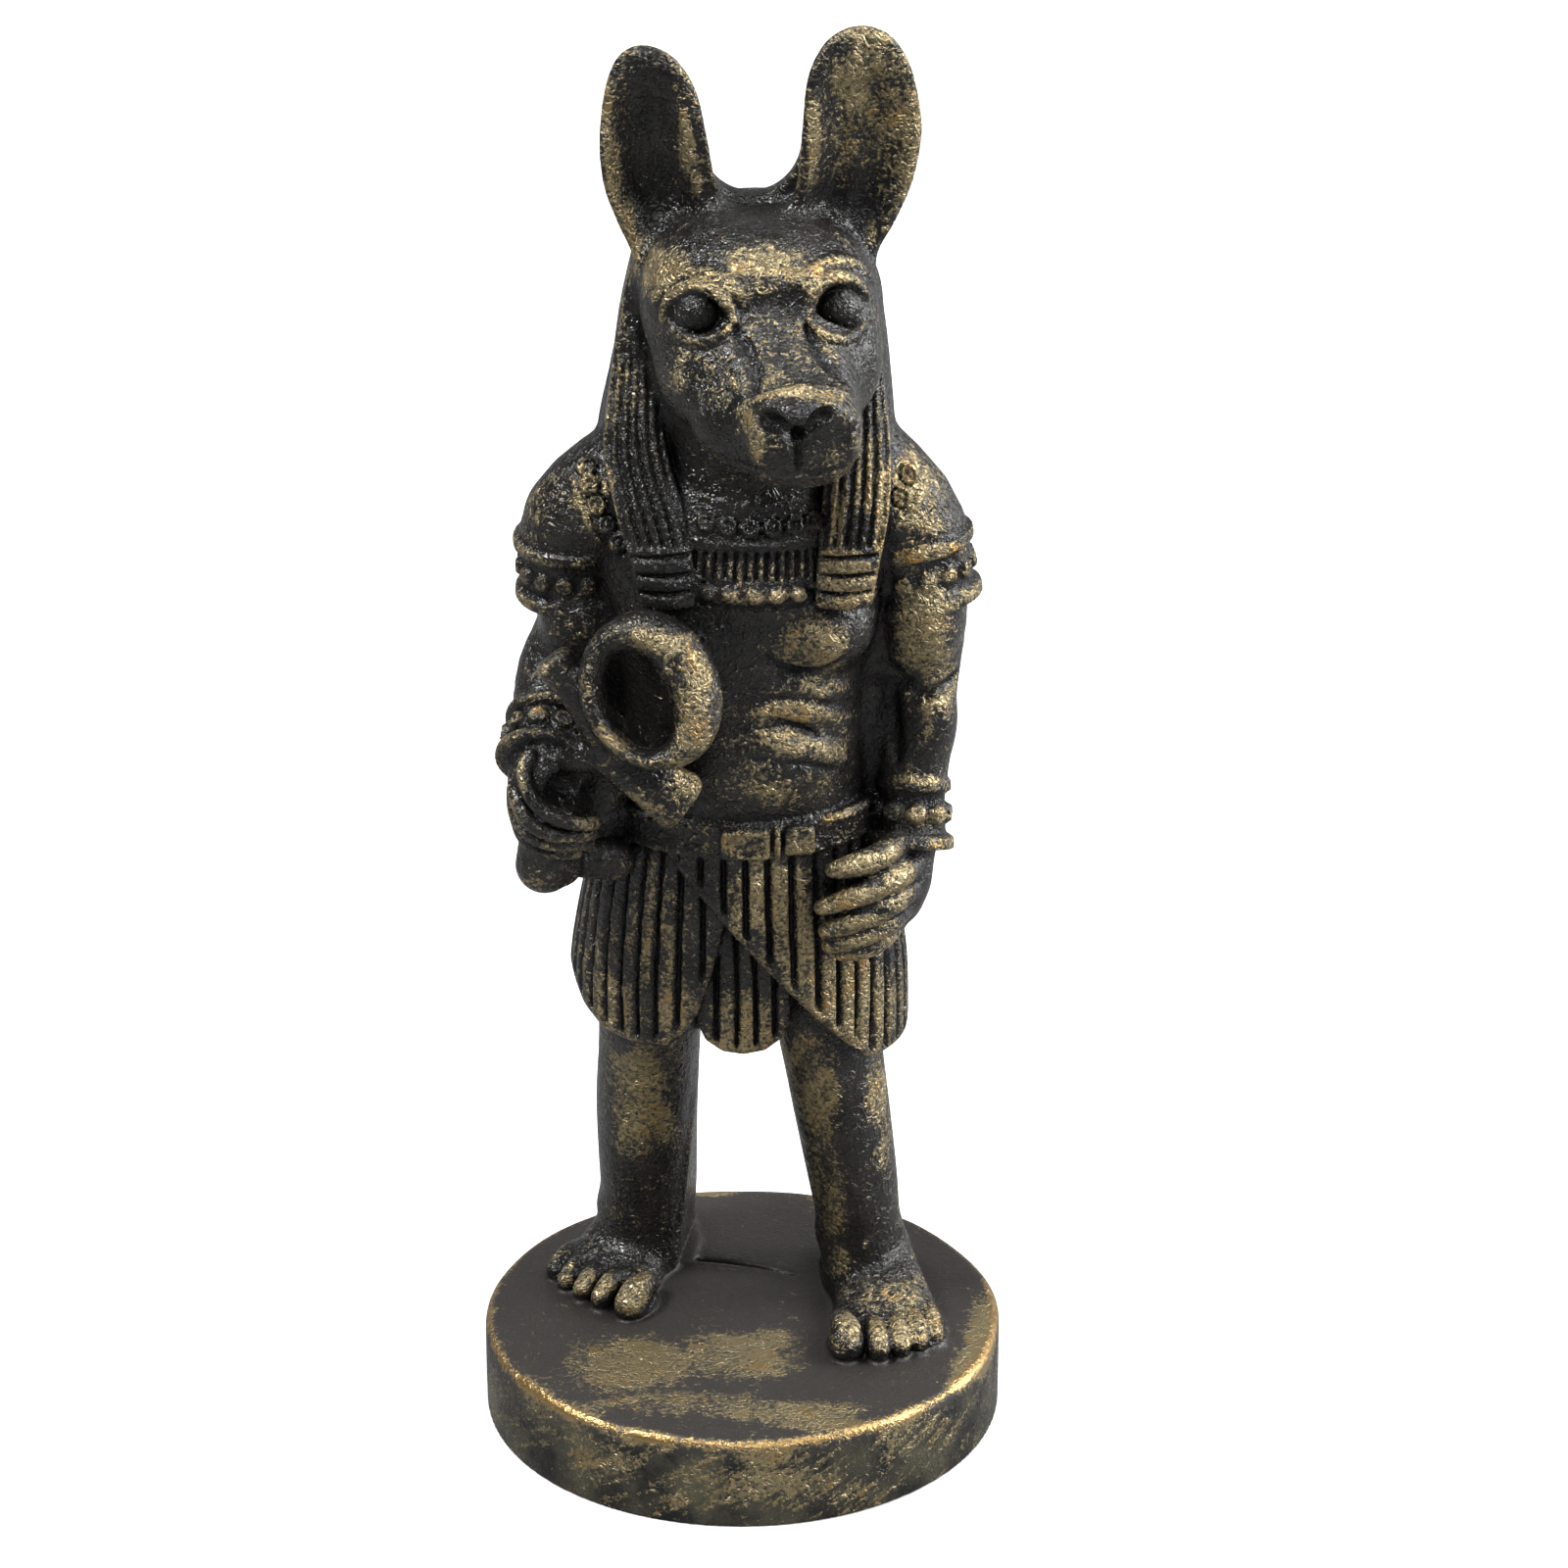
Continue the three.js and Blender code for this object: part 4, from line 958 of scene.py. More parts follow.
def head(clay):
    a = radians(HEAD_TURN)
    ahead, turn = (np.sin(a), -np.cos(a), 0), (0, 0, HEAD_TURN)
    clay.add(beam(HEAD, ahead, SKULL, 2.2), 0.6)
    clay.add(beam(HEAD, ahead, JAW, 2.2), 1.0)
    clay.add(beam(HEAD, ahead, MUZZLE, 2.6), 1.2)
    for side in (-1, 1):
        clay.add(egg(head_point(5.6, side * 4.7, -4.4), (4.1, 4.6, 4.4)), 1.6)
    clay.add(egg(head_point(11.0, -3.0, -6.6), (4.4, 3.0, 3.4)), 1.6)
    # The top of the head is hollowed a little between the ears.
    clay.carve(egg(head_point(-2.0, 0.3, 9.6), (5.2, 8.0, 2.7), turn), 1.5)
    for row in EYES:
        eye(clay, *row)
    # The nose: a sharp upper edge over two deep nostrils that meet above a cleft.
    clay.add(egg(head_point(16.7, -0.1, -3.6), (3.3, 2.2, 1.35), (10, 0, HEAD_TURN)), 0.5)
    clay.add(relief(clay, NOSE_EDGE, 0.5, 0.1), 0.4)
    for marks in NOSTRILS:
        clay.carve(relief(clay, marks, 0.8, 0.15), 0.2)
    clay.carve(egg(seen(clay, 4.55, 80.1), (0.95, 0.8, 0.8), turn), 0.3)
    clay.carve(relief(clay, CLEFT, 0.36, -0.02, False), 0.3)
    clay.carve(relief(clay, MOUTH, 0.36, -0.08), 0.25)


EARS = {
    "right": [
        (91.0, -4.2, 5.4, 3.6, 3.2),
        (94.0, -4.4, 5.4, 4.3, 3.3),
        (96.3, -5.0, 5.4, 4.7, 3.2),
        (99.5, -6.3, 5.3, 4.5, 3.0),
        (103.2, -6.8, 5.2, 4.3, 2.8),
        (107.0, -7.0, 5.2, 3.7, 2.3),
        (109.4, -7.3, 5.2, 2.6, 1.7),
        (110.7, -7.6, 5.2, 1.1, 1.0),
    ],
    "left": [
        (91.0, 6.0, 5.4, 3.6, 3.2),
        (94.0, 6.8, 5.4, 4.2, 3.3),
        (96.3, 7.6, 5.4, 4.7, 3.2),
        (99.8, 8.9, 5.3, 4.8, 3.0),
        (104.0, 9.4, 5.2, 4.9, 2.8),
        (108.4, 9.3, 5.2, 4.3, 2.3),
        (111.0, 9.3, 5.2, 3.0, 1.7),
        (112.3, 9.4, 5.2, 1.2, 1.0),
    ],
}


def ear(clay, stations, turn, rim, deep, inward, wrinkled):
    """A leaf-shaped ear, rounded behind and hollow in front, by rows of (z, x, y, half width, depth)."""
    rows = between(stations, np.linspace(0, 1, 120))
    c, s = np.cos(radians(turn)), np.sin(radians(turn))
    low = (rows[:, 1].min() - 5.5, 1.0, stations[0][0])
    high = (rows[:, 1].max() + 5.5, 9.5, stations[-1][0])

    def distance(x, y, z):
        cx, cy, a, b = at_level(rows, z, 0, (1, 2, 3, 4))
        u = (x - cx) * c + (y - cy) * s
        v = (y - cy) * c - (x - cx) * s
        shell = overlap(oval((u, v + b / 2), (a, b)), -(v + b / 2 + 0.3), 0.7)
        share = (z - low[2]) / (high[2] - low[2])
        fade = ramp(share, 0.04, 0.42) * (1 - ramp(share, 0.7, 1.0))
        # The bowl opens to the front, inside the rim.
        across = (u + inward) / np.maximum(a - rim, 0.2)
        depth = np.maximum((b - deep) * fade, 0.02)
        bowl = (v + b / 2 + 0.3) - depth * np.maximum(1 - across**2, 0) ** 0.65
        folds = wrinkled * np.sin(across * 7 + share * 3) * fade * (1 - np.minimum(np.abs(across), 1) ** 2)
        return overlap(overlap(shell, -(bowl + folds), 0.8), z - high[2], 0.8)

    clay.add(Form(low, high, distance), 1.5)


def ear_saddle(clay):
    """The skin between the roots of the ears, in a hollow curve."""

    def distance(x, y, z):
        q = np.sqrt(((x - 0.9) / 4.0) ** 2 + ((z - 102.5) / 4.5) ** 2)
        steep = np.sqrt(((x - 0.9) / 16.0) ** 2 + ((z - 102.5) / 20.2) ** 2)
        outside = (1 - q) * q / np.maximum(steep, TINY)
        thick = np.maximum(np.abs(y - 6.5) - 1.0, np.abs(x - 1.0) - 4.4)
        return overlap(np.maximum(outside, z - 102.2), thick, 0.5)

    clay.add(Form((-3.4, 5.4, 96.0), (5.4, 7.6, 102.2), distance), 1.0)


def build(cell):
    """The whole figurine in clay, on a grid of cells of a size in parts."""
    clay = Clay((-GRID_HALF, -GRID_HALF, -BASE_HEIGHT - 0.9), (GRID_HALF, GRID_HALF, GRID_TOP), cell)
    for step in (base, legs, kilt, belt, trunk, collar, headcloth):
        step(clay)
    for side in (-1, 1):
        lappet(clay, side)
    for step in (arms, collar_beads, head):
        step(clay)
    ear(clay, EARS["right"], 4, 1.3, 0.9, 0.5, 0.1)
    ear(clay, EARS["left"], 13, 0.9, 1.1, 0.0, 0.26)
    for step in (ear_saddle, left_hand, looped_cross, fist):
        step(clay)
    return clay


def blurred(clay, radius):
    """The clay's field smoothed over a radius in parts, by two running means along each axis."""
    out = clay.field
    half = max(1, int(round(radius / clay.cell)))
    width = 2 * half + 1
    for axis in range(3):
        for _ in range(2):
            edges = [(half + 1, half) if k == axis else (0, 0) for k in range(3)]
            total = np.cumsum(np.pad(out, edges, mode="edge"), axis=axis, dtype=np.float64)
            places = np.arange(out.shape[axis])
            high = np.take(total, places + width, axis=axis)
            out = ((high - np.take(total, places, axis=axis)) / width).astype(np.float32)
    return out


def sampled(clay, field, points):
    """Values of a field at points, mixed from the eight cells round each."""
    place = np.clip((points - clay.low) / clay.cell, 0, np.array(field.shape) - 1.001)
    first = place.astype(int)
    share = place - first
    out = np.zeros(len(points))
    for corner in range(8):
        step = np.array([corner & 1, corner >> 1 & 1, corner >> 2 & 1])
        weight = np.prod(np.where(step, share, 1 - share), axis=1)
        out += weight * field[tuple((first + step).T)]
    return out


def casting(settings):
    """The clay as one mesh in metres, thinned where it is flat."""
    clay = build(settings.cell * 1000)
    corners, quads = polygonise(clay)
    mesh = bpy.data.meshes.new(PIECE)
    mesh.vertices.add(len(corners))
    mesh.vertices.foreach_set("co", (corners * PART_M + (0, 0, BASE_HEIGHT_M)).astype(np.float32).ravel())
    mesh.loops.add(quads.size)
    mesh.loops.foreach_set("vertex_index", quads.astype(np.int32).ravel())
    mesh.polygons.add(len(quads))
    mesh.polygons.foreach_set("loop_start", np.arange(0, quads.size, 4, dtype=np.int32))
    mesh.update(calc_edges=True)
    piece = bpy.data.objects.new(PIECE, mesh)
    bpy.context.scene.collection.objects.link(piece)
    thin = piece.modifiers.new("thin", "DECIMATE")
    thin.ratio = min(1.0, settings.triangles / (2 * len(quads)))
    thin.use_collapse_triangulate = True
    view = bpy.context.evaluated_depsgraph_get()
    thinned = bpy.data.meshes.new_from_object(piece.evaluated_get(view))
    piece.modifiers.clear()
    piece.data = thinned
    bpy.data.meshes.remove(mesh)
    thinned.name = PIECE
    split_base_edges(thinned)
    thinned.shade_smooth()
    return clay, piece


# Splitting keeps to what lies between the foot of the base and the top of its swells, in metres, and to
# edges longer than this.
SPLIT_LOW_M = 0.0003
SPLIT_HIGH_M = BASE_HEIGHT_M + 0.0004
SPLIT_EDGE_M = 0.0012


def split_base_edges(mesh):
    """The flat top and plain side of the base keep enough corners to carry the marks of the brush."""
    work = bmesh.new()
    work.from_mesh(mesh)
    for _ in range(4):
        edges = []
        for edge in work.edges:
            low, high = sorted(corner.co.z for corner in edge.verts)
            if low > SPLIT_LOW_M and high < SPLIT_HIGH_M and edge.calc_length() > SPLIT_EDGE_M:
                edges.append(edge)
        if not edges:
            break
        bmesh.ops.subdivide_edges(work, edges=edges, cuts=1, use_single_edge=True)
        bmesh.ops.triangulate(work, faces=[face for face in work.faces if len(face.verts) > 3])
    work.to_mesh(mesh)
    work.free()


def points_of(piece):
    """The corners of a piece in parts, from the top of its base."""
    points = np.empty(len(piece.data.vertices) * 3, np.float32)
    piece.data.vertices.foreach_get("co", points)
    return (points.reshape(-1, 3) - (0, 0, BASE_HEIGHT_M)) / PART_M


def normals_of(piece):
    normals = np.empty(len(piece.data.vertices) * 3, np.float32)
    piece.data.vertex_normals.foreach_get("vector", normals)
    return normals.reshape(-1, 3)


def write_mask(piece, name, values):
    mask = piece.data.attributes.new(name, "FLOAT", "POINT")
    mask.data.foreach_set("value", np.asarray(values, np.float32))


# Strokes of the brush (x, z, half width, half height, strength), as seen from in front and a little above,
# on the upright plane through the middle of the figurine. Below nothing, the paint was kept off.
# The two thin strokes down the left forearm are painted highlights, laid in gold.
STROKES = {
    "face": [
        (2.1, 91.5, 1.8, 2.0, 0.7), (2.8, 89.0, 1.6, 2.3, 0.6), (3.5, 85.9, 1.9, 2.3, 0.6),
        (-1.9, 84.8, 1.6, 2.7, 0.4), (7.0, 88.2, 1.0, 2.1, 0.5), (1.6, 87.8, 4.8, 6.2, 0.3),
        (-5.0, 86.1, 3.2, 4.4, 0.25), (7.2, 93.1, 1.6, 0.5, 0.7), (-5.1, 92.1, 1.1, 0.7, 0.8),
        (-3.2, 92.8, 1.5, 0.6, 0.8), (-1.2, 91.6, 0.8, 1.1, 0.7), (4.5, 81.2, 2.3, 1.3, -1.5),
        (2.0, 89.4, 2.1, 2.7, 0.55), (-1.5, 91.5, 2.4, 1.2, 0.5), (-5.0, 91.9, 2.7, 0.5, 0.7),
        (7.0, 91.9, 1.9, 0.5, 0.5), (1.6, 84.0, 2.4, 1.2, 0.6), (-4.2, 87.8, 1.8, 2.7, 0.35),
        (8.2, 85.3, 0.8, 3.5, 0.3), (-6.3, 94.3, 2.4, 2.0, 0.85), (1.7, 94.6, 3.7, 1.3, 0.9),
        (4.7, 93.4, 2.1, 1.1, 0.8), (-3.5, 93.0, 3.1, 0.7, 0.9), (-4.3, 91.8, 1.8, 0.4, 0.6),
        (7.7, 94.3, 2.0, 0.5, 0.45), (2.2, 86.0, 1.1, 2.5, 0.4), (4.5, 87.8, 1.3, 2.7, 0.45),
        (5.1, 83.4, 2.9, 0.4, 0.9), (0.5, 81.3, 1.1, 1.2, 0.65), (1.4, 79.2, 1.0, 1.4, 0.5),
        (-5.0, 86.0, 0.8, 2.1, 0.4), (4.5, 82.0, 1.8, 0.6, 0.35), (7.4, 77.9, 1.1, 0.9, 0.35),
        (-3.2, 90.1, 1.9, 2.0, -1.2), (7.8, 90.9, 1.8, 1.8, -1), (0.6, 98.8, 3.6, 1.6, -0.8),
        (-4.2, 81.1, 2.0, 2.0, -0.5), (8.9, 86.9, 0.8, 3.5, -0.2),
    ],
    "ears": [
        (11.5, 106.5, 2.1, 5.3, 0.35), (8.1, 104.1, 1.1, 5.3, 0.4), (-8.8, 96.0, 1.1, 1.4, 0.5),
        (10.1, 110.3, 1.8, 4.1, 0.65), (7.9, 109.3, 0.6, 2.2, 0.8), (8.7, 108.1, 1.2, 1.8, 0.5),
        (13.3, 104.2, 0.9, 4.0, 0.7), (5.9, 104.5, 0.5, 2.7, 0.6), (10.7, 102.7, 1.5, 3.4, 0.35),
        (10.2, 97.0, 0.6, 1.2, 0.8), (-4.2, 104.2, 0.5, 2.4, 0.9), (-3.4, 100.6, 0.4, 1.8, 0.6),
        (-9.7, 101.8, 0.5, 2.3, 0.7), (-8.6, 98.5, 0.6, 1.6, 0.55), (-10.2, 108.4, 0.3, 1.8, 0.35),
        (-7.5, 96.4, 1.0, 0.8, 0.6), (-6.7, 106.5, 1.3, 4.4, -0.7), (8.5, 99.2, 1.8, 2.3, -0.3),
    ],
    "shoulders": [
        (13.3, 75.2, 2.7, 2.7, 0.75), (-12.1, 73.5, 1.3, 4.4, 0.35), (-16.4, 71.8, 1.8, 5.3, 0.25),
        (-12.4, 76.3, 0.6, 1.1, 0.7), (-10.4, 75.9, 0.5, 1.2, 1.1), (-16.7, 70.5, 1.0, 1.1, 0.45),
        (7.8, 73.2, 0.4, 4.0, 1.1), (10.2, 76.7, 0.9, 3.5, 0.55), (11.2, 72.3, 0.4, 2.7, 0.9),
        (8.6, 67.5, 1.8, 2.5, 0.7), (13.4, 77.2, 1.2, 1.8, 0.8), (12.6, 74.5, 1.0, 1.1, 0.9),
        (14.3, 72.3, 2.4, 1.2, 0.9), (14.7, 69.9, 3.4, 0.8, 1), (14.7, 67.9, 3.2, 0.8, 0.65),
        (14.7, 66.4, 3.4, 0.5, 0.95), (-6.7, 71.8, 2.4, 6.2, -0.5), (-8.9, 77.7, 1.6, 3.5, -0.3),
        (-14.9, 71.8, 2.0, 2.7, -0.2), (-5.1, 65.0, 2.4, 2.2, -0.5),
    ],
    "arms": [
        (14.6, 62.8, 2.7, 3.7, 0.75), (16.6, 58.9, 1.0, 3.2, 0.7), (15.6, 59.4, 1.6, 1.2, 0.75),
        # The two thin strokes here, at x 15.2 and 16.9, are painted highlights down the left forearm.
        (15.2, 55.8, 0.4, 3.0, 0.6), (16.9, 56.7, 0.4, 1.8, 0.6), (14.5, 49.8, 2.1, 0.5, 0.8),
        (14.9, 46.1, 2.1, 1.0, 0.8), (-16.5, 59.4, 1.0, 0.4, 0.6), (-17.9, 50.3, 0.4, 1.8, 0.4),
        (-16.9, 56.3, 0.6, 0.7, 0.4), (11.9, 55.5, 1.8, 4.4, -0.5),
    ],
    "chest": [
        (5.3, 62.0, 3.2, 2.7, 0.75), (4.5, 55.6, 4.0, 1.2, 0.8), (4.7, 53.5, 3.9, 1.6, 0.7),
        (3.5, 48.2, 4.8, 2.0, 0.55), (1.1, 50.2, 3.2, 2.7, 0.4), (7.3, 52.6, 1.9, 1.2, 0.6),
        (6.7, 58.3, 2.7, 1.2, 0.5), (2.8, 65.9, 2.9, 0.5, 0.6), (-0.8, 52.8, 1.5, 5.3, 0.3),
        (7.5, 48.0, 2.1, 2.7, 0.5), (0.4, 62.4, 2.4, 2.2, -0.4), (1.2, 71.8, 4.0, 2.3, -0.5),
        (9.9, 59.8, 1.0, 5.3, -0.6),
    ],
    "cross": [
        (-3.8, 56.2, 1.4, 4.4, 0.6), (-6.6, 62.0, 3.2, 1.2, 0.6), (-3.4, 59.4, 1.0, 1.8, 1),
        (-10.0, 53.5, 2.4, 1.1, 0.55), (-4.6, 49.8, 1.4, 1.8, 0.65), (-8.4, 48.0, 1.6, 0.7, 0.45),
        (-9.6, 58.1, 1.9, 3.5, -1),
    ],
    "belt": [
        (-1.0, 43.8, 1.8, 0.8, 0.65), (4.9, 43.8, 2.0, 0.8, 0.5), (7.9, 44.8, 1.6, 0.7, 0.5),
        (-6.9, 44.9, 2.4, 0.7, -0.3),
    ],
    "hand": [
        (-15.2, 48.0, 2.6, 3.7, -0.6), (9.6, 41.9, 2.4, 0.9, 1), (12.9, 40.7, 1.2, 2.7, 0.8),
        (9.7, 38.9, 3.2, 0.8, 0.95), (9.7, 36.8, 2.8, 0.6, 0.95), (10.1, 35.2, 2.4, 0.6, 0.85),
    ],
    "kilt": [
        (2.7, 40.0, 2.9, 4.0, 0.75), (4.7, 35.5, 1.9, 4.0, 0.75), (-0.2, 38.7, 1.1, 3.5, 0.4),
        (9.0, 30.5, 3.2, 3.4, 0.7), (9.7, 26.4, 2.0, 1.2, 1), (6.0, 28.5, 1.0, 1.1, 0.7),
        (11.2, 29.3, 1.2, 3.5, 0.6), (-6.0, 28.8, 1.2, 1.3, 0.6), (-10.4, 29.3, 2.0, 2.0, 0.35),
        (-7.5, 35.5, 1.5, 3.5, 0.3), (-5.7, 33.4, 1.0, 2.2, 0.45), (0.2, 27.2, 2.4, 3.1, 0.6),
        (-0.5, 25.2, 2.7, 0.6, 0.8), (-10.9, 40.4, 2.0, 3.5, -0.3),
    ],
    "legs": [
        (-8.7, 22.7, 2.4, 2.5, 0.8), (-8.1, 18.0, 2.7, 3.0, 0.7), (-5.4, 24.5, 1.1, 1.8, 0.5),
        (6.6, 20.4, 1.6, 4.3, 0.8), (5.1, 24.8, 1.5, 2.1, 0.6), (11.2, 20.9, 1.0, 3.5, 0.75),
        (12.1, 16.2, 0.7, 3.2, 0.6), (7.7, 9.5, 1.0, 4.1, 0.7), (6.2, 12.9, 0.6, 3.2, 0.6),
        (8.3, 4.5, 1.1, 1.4, 0.6), (-10.8, 22.2, 0.6, 5.3, 0.3),
    ],
    "feet": [
        (12.2, 1.1, 3.4, 2.3, 0.9), (13.9, -1.2, 3.2, 2.3, 0.85), (-9.7, 1.4, 1.4, 1.7, 1.1),
        (-13.2, 2.5, 2.3, 1.1, 0.85), (-8.6, 3.4, 0.8, 0.9, 0.7), (-14.7, 0.4, 1.1, 0.4, 0.7),
        (13.1, 1.4, 2.3, 1.2, 0.95), (13.9, -2.1, 2.4, 1.4, 0.85), (9.5, -1.6, 1.1, 1.2, 0.75),
    ],
    "base": [
        (1.9, -16.8, 6.5, 2.7, 1.1), (9.4, -17.7, 3.2, 1.8, 0.5), (-11.6, -14.8, 3.2, 2.3, 0.6),
        (-16.6, -10.9, 3.2, 2.3, 0.45), (-9.4, -5.3, 5.3, 2.7, 1), (-0.5, -4.5, 5.3, 2.3, 0.9),
        (2.7, -2.8, 2.3, 1.2, 0.9), (-4.8, -9.1, 7.3, 1.2, 0.7), (3.5, -9.9, 7.3, 1.2, 0.8),
        (20.2, -3.2, 1.2, 4.0, 1), (18.6, -6.0, 1.1, 2.2, 0.8), (-2.3, 11.4, 1.8, 0.4, 1.1),
        (4.7, -0.9, 0.3, 0.3, 1), (6.9, -11.1, 4.8, 0.7, 0.8), (-12.7, -9.8, 1.6, 0.7, 0.5),
        (0.2, 4.5, 4.8, 2.7, -0.3), (5.2, -17.2, 7.3, 2.0, 0.55), (15.3, -12.1, 3.2, 2.3, 0.5),
        (-9.9, -13.8, 4.0, 1.8, 0.4), (-16.5, -8.0, 2.4, 1.8, 0.35), (-3.2, -18.7, 4.8, 1.2, 0.35),
    ],
}

# How much gold is left where the brush wasn't seen to go.
UNSEEN_BRUSH = 0.18
# How far round a place its height is compared with, in parts, for the three masks below.
BLUR_RADII = (0.55, 1.3, 2.6)


def brushed_on(points, normals):
    """How much gold the brush left, by the strokes above, on what faces the hand that held it.

    Two of the strokes are painted highlights.
    """
    away = VIEWPOINT - points
    facing = ramp((normals * away).sum(1) / np.linalg.norm(away, axis=1), -0.05, 0.3)
    share = VIEWPOINT[1] / (VIEWPOINT[1] - points[:, 1])
    x, z = (VIEWPOINT[k] + (points[:, k] - VIEWPOINT[k]) * share for k in (0, 2))
    more, less = np.zeros(len(points)), np.zeros(len(points))
    for part in STROKES.values():
        for middle, height, wide, high, strength in part:
            near = np.exp(-0.7 * (((x - middle) / wide) ** 2 + ((z - height) / high) ** 2) ** 2)
            if strength > 0:
                more = np.maximum(more, strength * near)
            else:
                less = np.maximum(less, -strength * near)
    return facing * (more - less) + (1 - facing) * UNSEEN_BRUSH


def write_masks(clay, piece):
    """Raised and hollow places, and where the brush went, kept on the mesh for the paint and the painted
    shade.
    """
    points = points_of(piece)
    here = sampled(clay, clay.field, points)
    fine, broad, deep = (sampled(clay, blurred(clay, radius), points) - here for radius in BLUR_RADII)
    write_mask(piece, "raised", np.clip(fine / 0.22, -1, 1))
    write_mask(piece, "standing_out", np.clip(broad / 0.5, -1, 1))
    # Deep, sheltered places: less gold there, and darkened as painted shade.
    write_mask(piece, "sheltered", np.clip((-deep - 0.35) / 0.9, 0, 1))
    write_mask(piece, "brushed", brushed_on(points, normals_of(piece)))
    out, down = np.hypot(points[:, 0], points[:, 1]), -points[:, 2]
    side = ramp(down, 0.9, 1.6)
    write_mask(piece, "base_edge", hump(out, BASE_RADIUS - 0.4, 0.5) * hump(down, 0.35, 0.55))
    write_mask(piece, "base_side", side)
    write_mask(piece, "base_top", ramp(down, -0.5, -0.2) * (1 - side))


class Nodes:
    """Shader nodes laid out as they are made."""

    def __init__(self, tree):
        self.tree = tree
        self.count = 0

    def add(self, kind, values=None, **settings):
        node = self.tree.nodes.new(kind)
        node.location = (220 * (self.count % 8), -260 * (self.count // 8))
        self.count += 1
        for name, value in settings.items():
            setattr(node, name, value)
        for name, value in (values or {}).items():
            self.put(node.inputs[name], value)
        return node

    def put(self, socket, value):
        if isinstance(value, bpy.types.NodeSocket):
            self.tree.links.new(value, socket)
        else:
            socket.default_value = value

    def math(self, operation, *values):
        node = self.add("ShaderNodeMath", operation=operation)
        for socket, value in zip(node.inputs, values):
            self.put(socket, value)
        return node.outputs[0]

    def times(self, a, b):
        return self.math("MULTIPLY", a, b)

    def scaled(self, value, factor, offset):
        """A value times a factor, plus an offset."""
        return self.math("MULTIPLY_ADD", value, factor, offset)

    def centred(self, value, middle=0.5):
        return self.math("SUBTRACT", value, middle)

    def noise(self, coords, size, detail=3.0, roughness=0.55, squash=None, turn=(0, 0, 0), twist=0.0):
        """Noise with features of a size in metres, in all directions or squashed along each axis."""
        if squash:
            values = {"Vector": coords, "Rotation": turn, "Scale": squash}
            coords = self.add("ShaderNodeMapping", values).outputs[0]
        values = {"Vector": coords, "Scale": 1 / size, "Detail": detail, "Roughness": roughness}
        return self.add("ShaderNodeTexNoise", {**values, "Distortion": twist}).outputs["Fac"]

    def mask(self, name):
        return self.add("ShaderNodeAttribute", attribute_name=name).outputs["Fac"]

    def step(self, value, low, high):
        """0 below low and 1 above high, smooth between."""
        values = {"Value": value, "From Min": low, "From Max": high}
        return self.add("ShaderNodeMapRange", values, interpolation_type="SMOOTHSTEP").outputs[0]

    def mix(self, share, a, b, kind="RGBA", sockets=(0, 6, 7), out=2):
        """From colour a at share 0 to colour b at share 1."""
        node = self.add("ShaderNodeMix", data_type=kind)
        for index, value in zip(sockets, (share, a, b)):
            self.put(node.inputs[index], value)
        return node.outputs[out]

    def blend(self, share, a, b):
        """From number a at share 0 to number b at share 1."""
        return self.mix(share, a, b, "FLOAT", (0, 2, 3), 0)


def shader_group(name, inputs, outputs):
    """An empty node group that takes a place and some numbers (name, default) and gives some numbers."""
    tree = bpy.data.node_groups.new(name, "ShaderNodeTree")
    tree.interface.new_socket(name="Vector", in_out="INPUT", socket_type="NodeSocketVector")
    for label, default in inputs:
        socket = tree.interface.new_socket(name=label, in_out="INPUT", socket_type="NodeSocketFloat")
        socket.default_value = default
    for label in outputs:
        tree.interface.new_socket(name=label, in_out="OUTPUT", socket_type="NodeSocketFloat")
    nodes = Nodes(tree)
    return nodes, nodes.add("NodeGroupInput").outputs, nodes.add("NodeGroupOutput").inputs


def cast_surface():
    """Group: the fine wrinkles and grain of the cast resin, as a height, its crests and a mottle."""
    nodes, given, out = shader_group("Cast surface", [("Grain", 0.5)], ["Height", "Crests", "Mottle"])
    coords = given["Vector"]
    wrinkles = nodes.noise(coords, 0.00085, 2.0, 0.5, twist=1.4)
    wrinkles = nodes.math("ABSOLUTE", nodes.times(nodes.centred(wrinkles), 3.0))
    fine = nodes.noise(coords, 0.00036, 1.0, 0.5)
    soft = nodes.noise(coords, 0.0024, 3.0, 0.5)
    crests = nodes.scaled(wrinkles, 0.6, nodes.times(fine, given["Grain"]))
    nodes.put(out["Height"], nodes.scaled(soft, 0.9, crests))
    nodes.put(out["Crests"], crests)
    nodes.put(out["Mottle"], nodes.noise(coords, 0.0034, 4.0, 0.6))


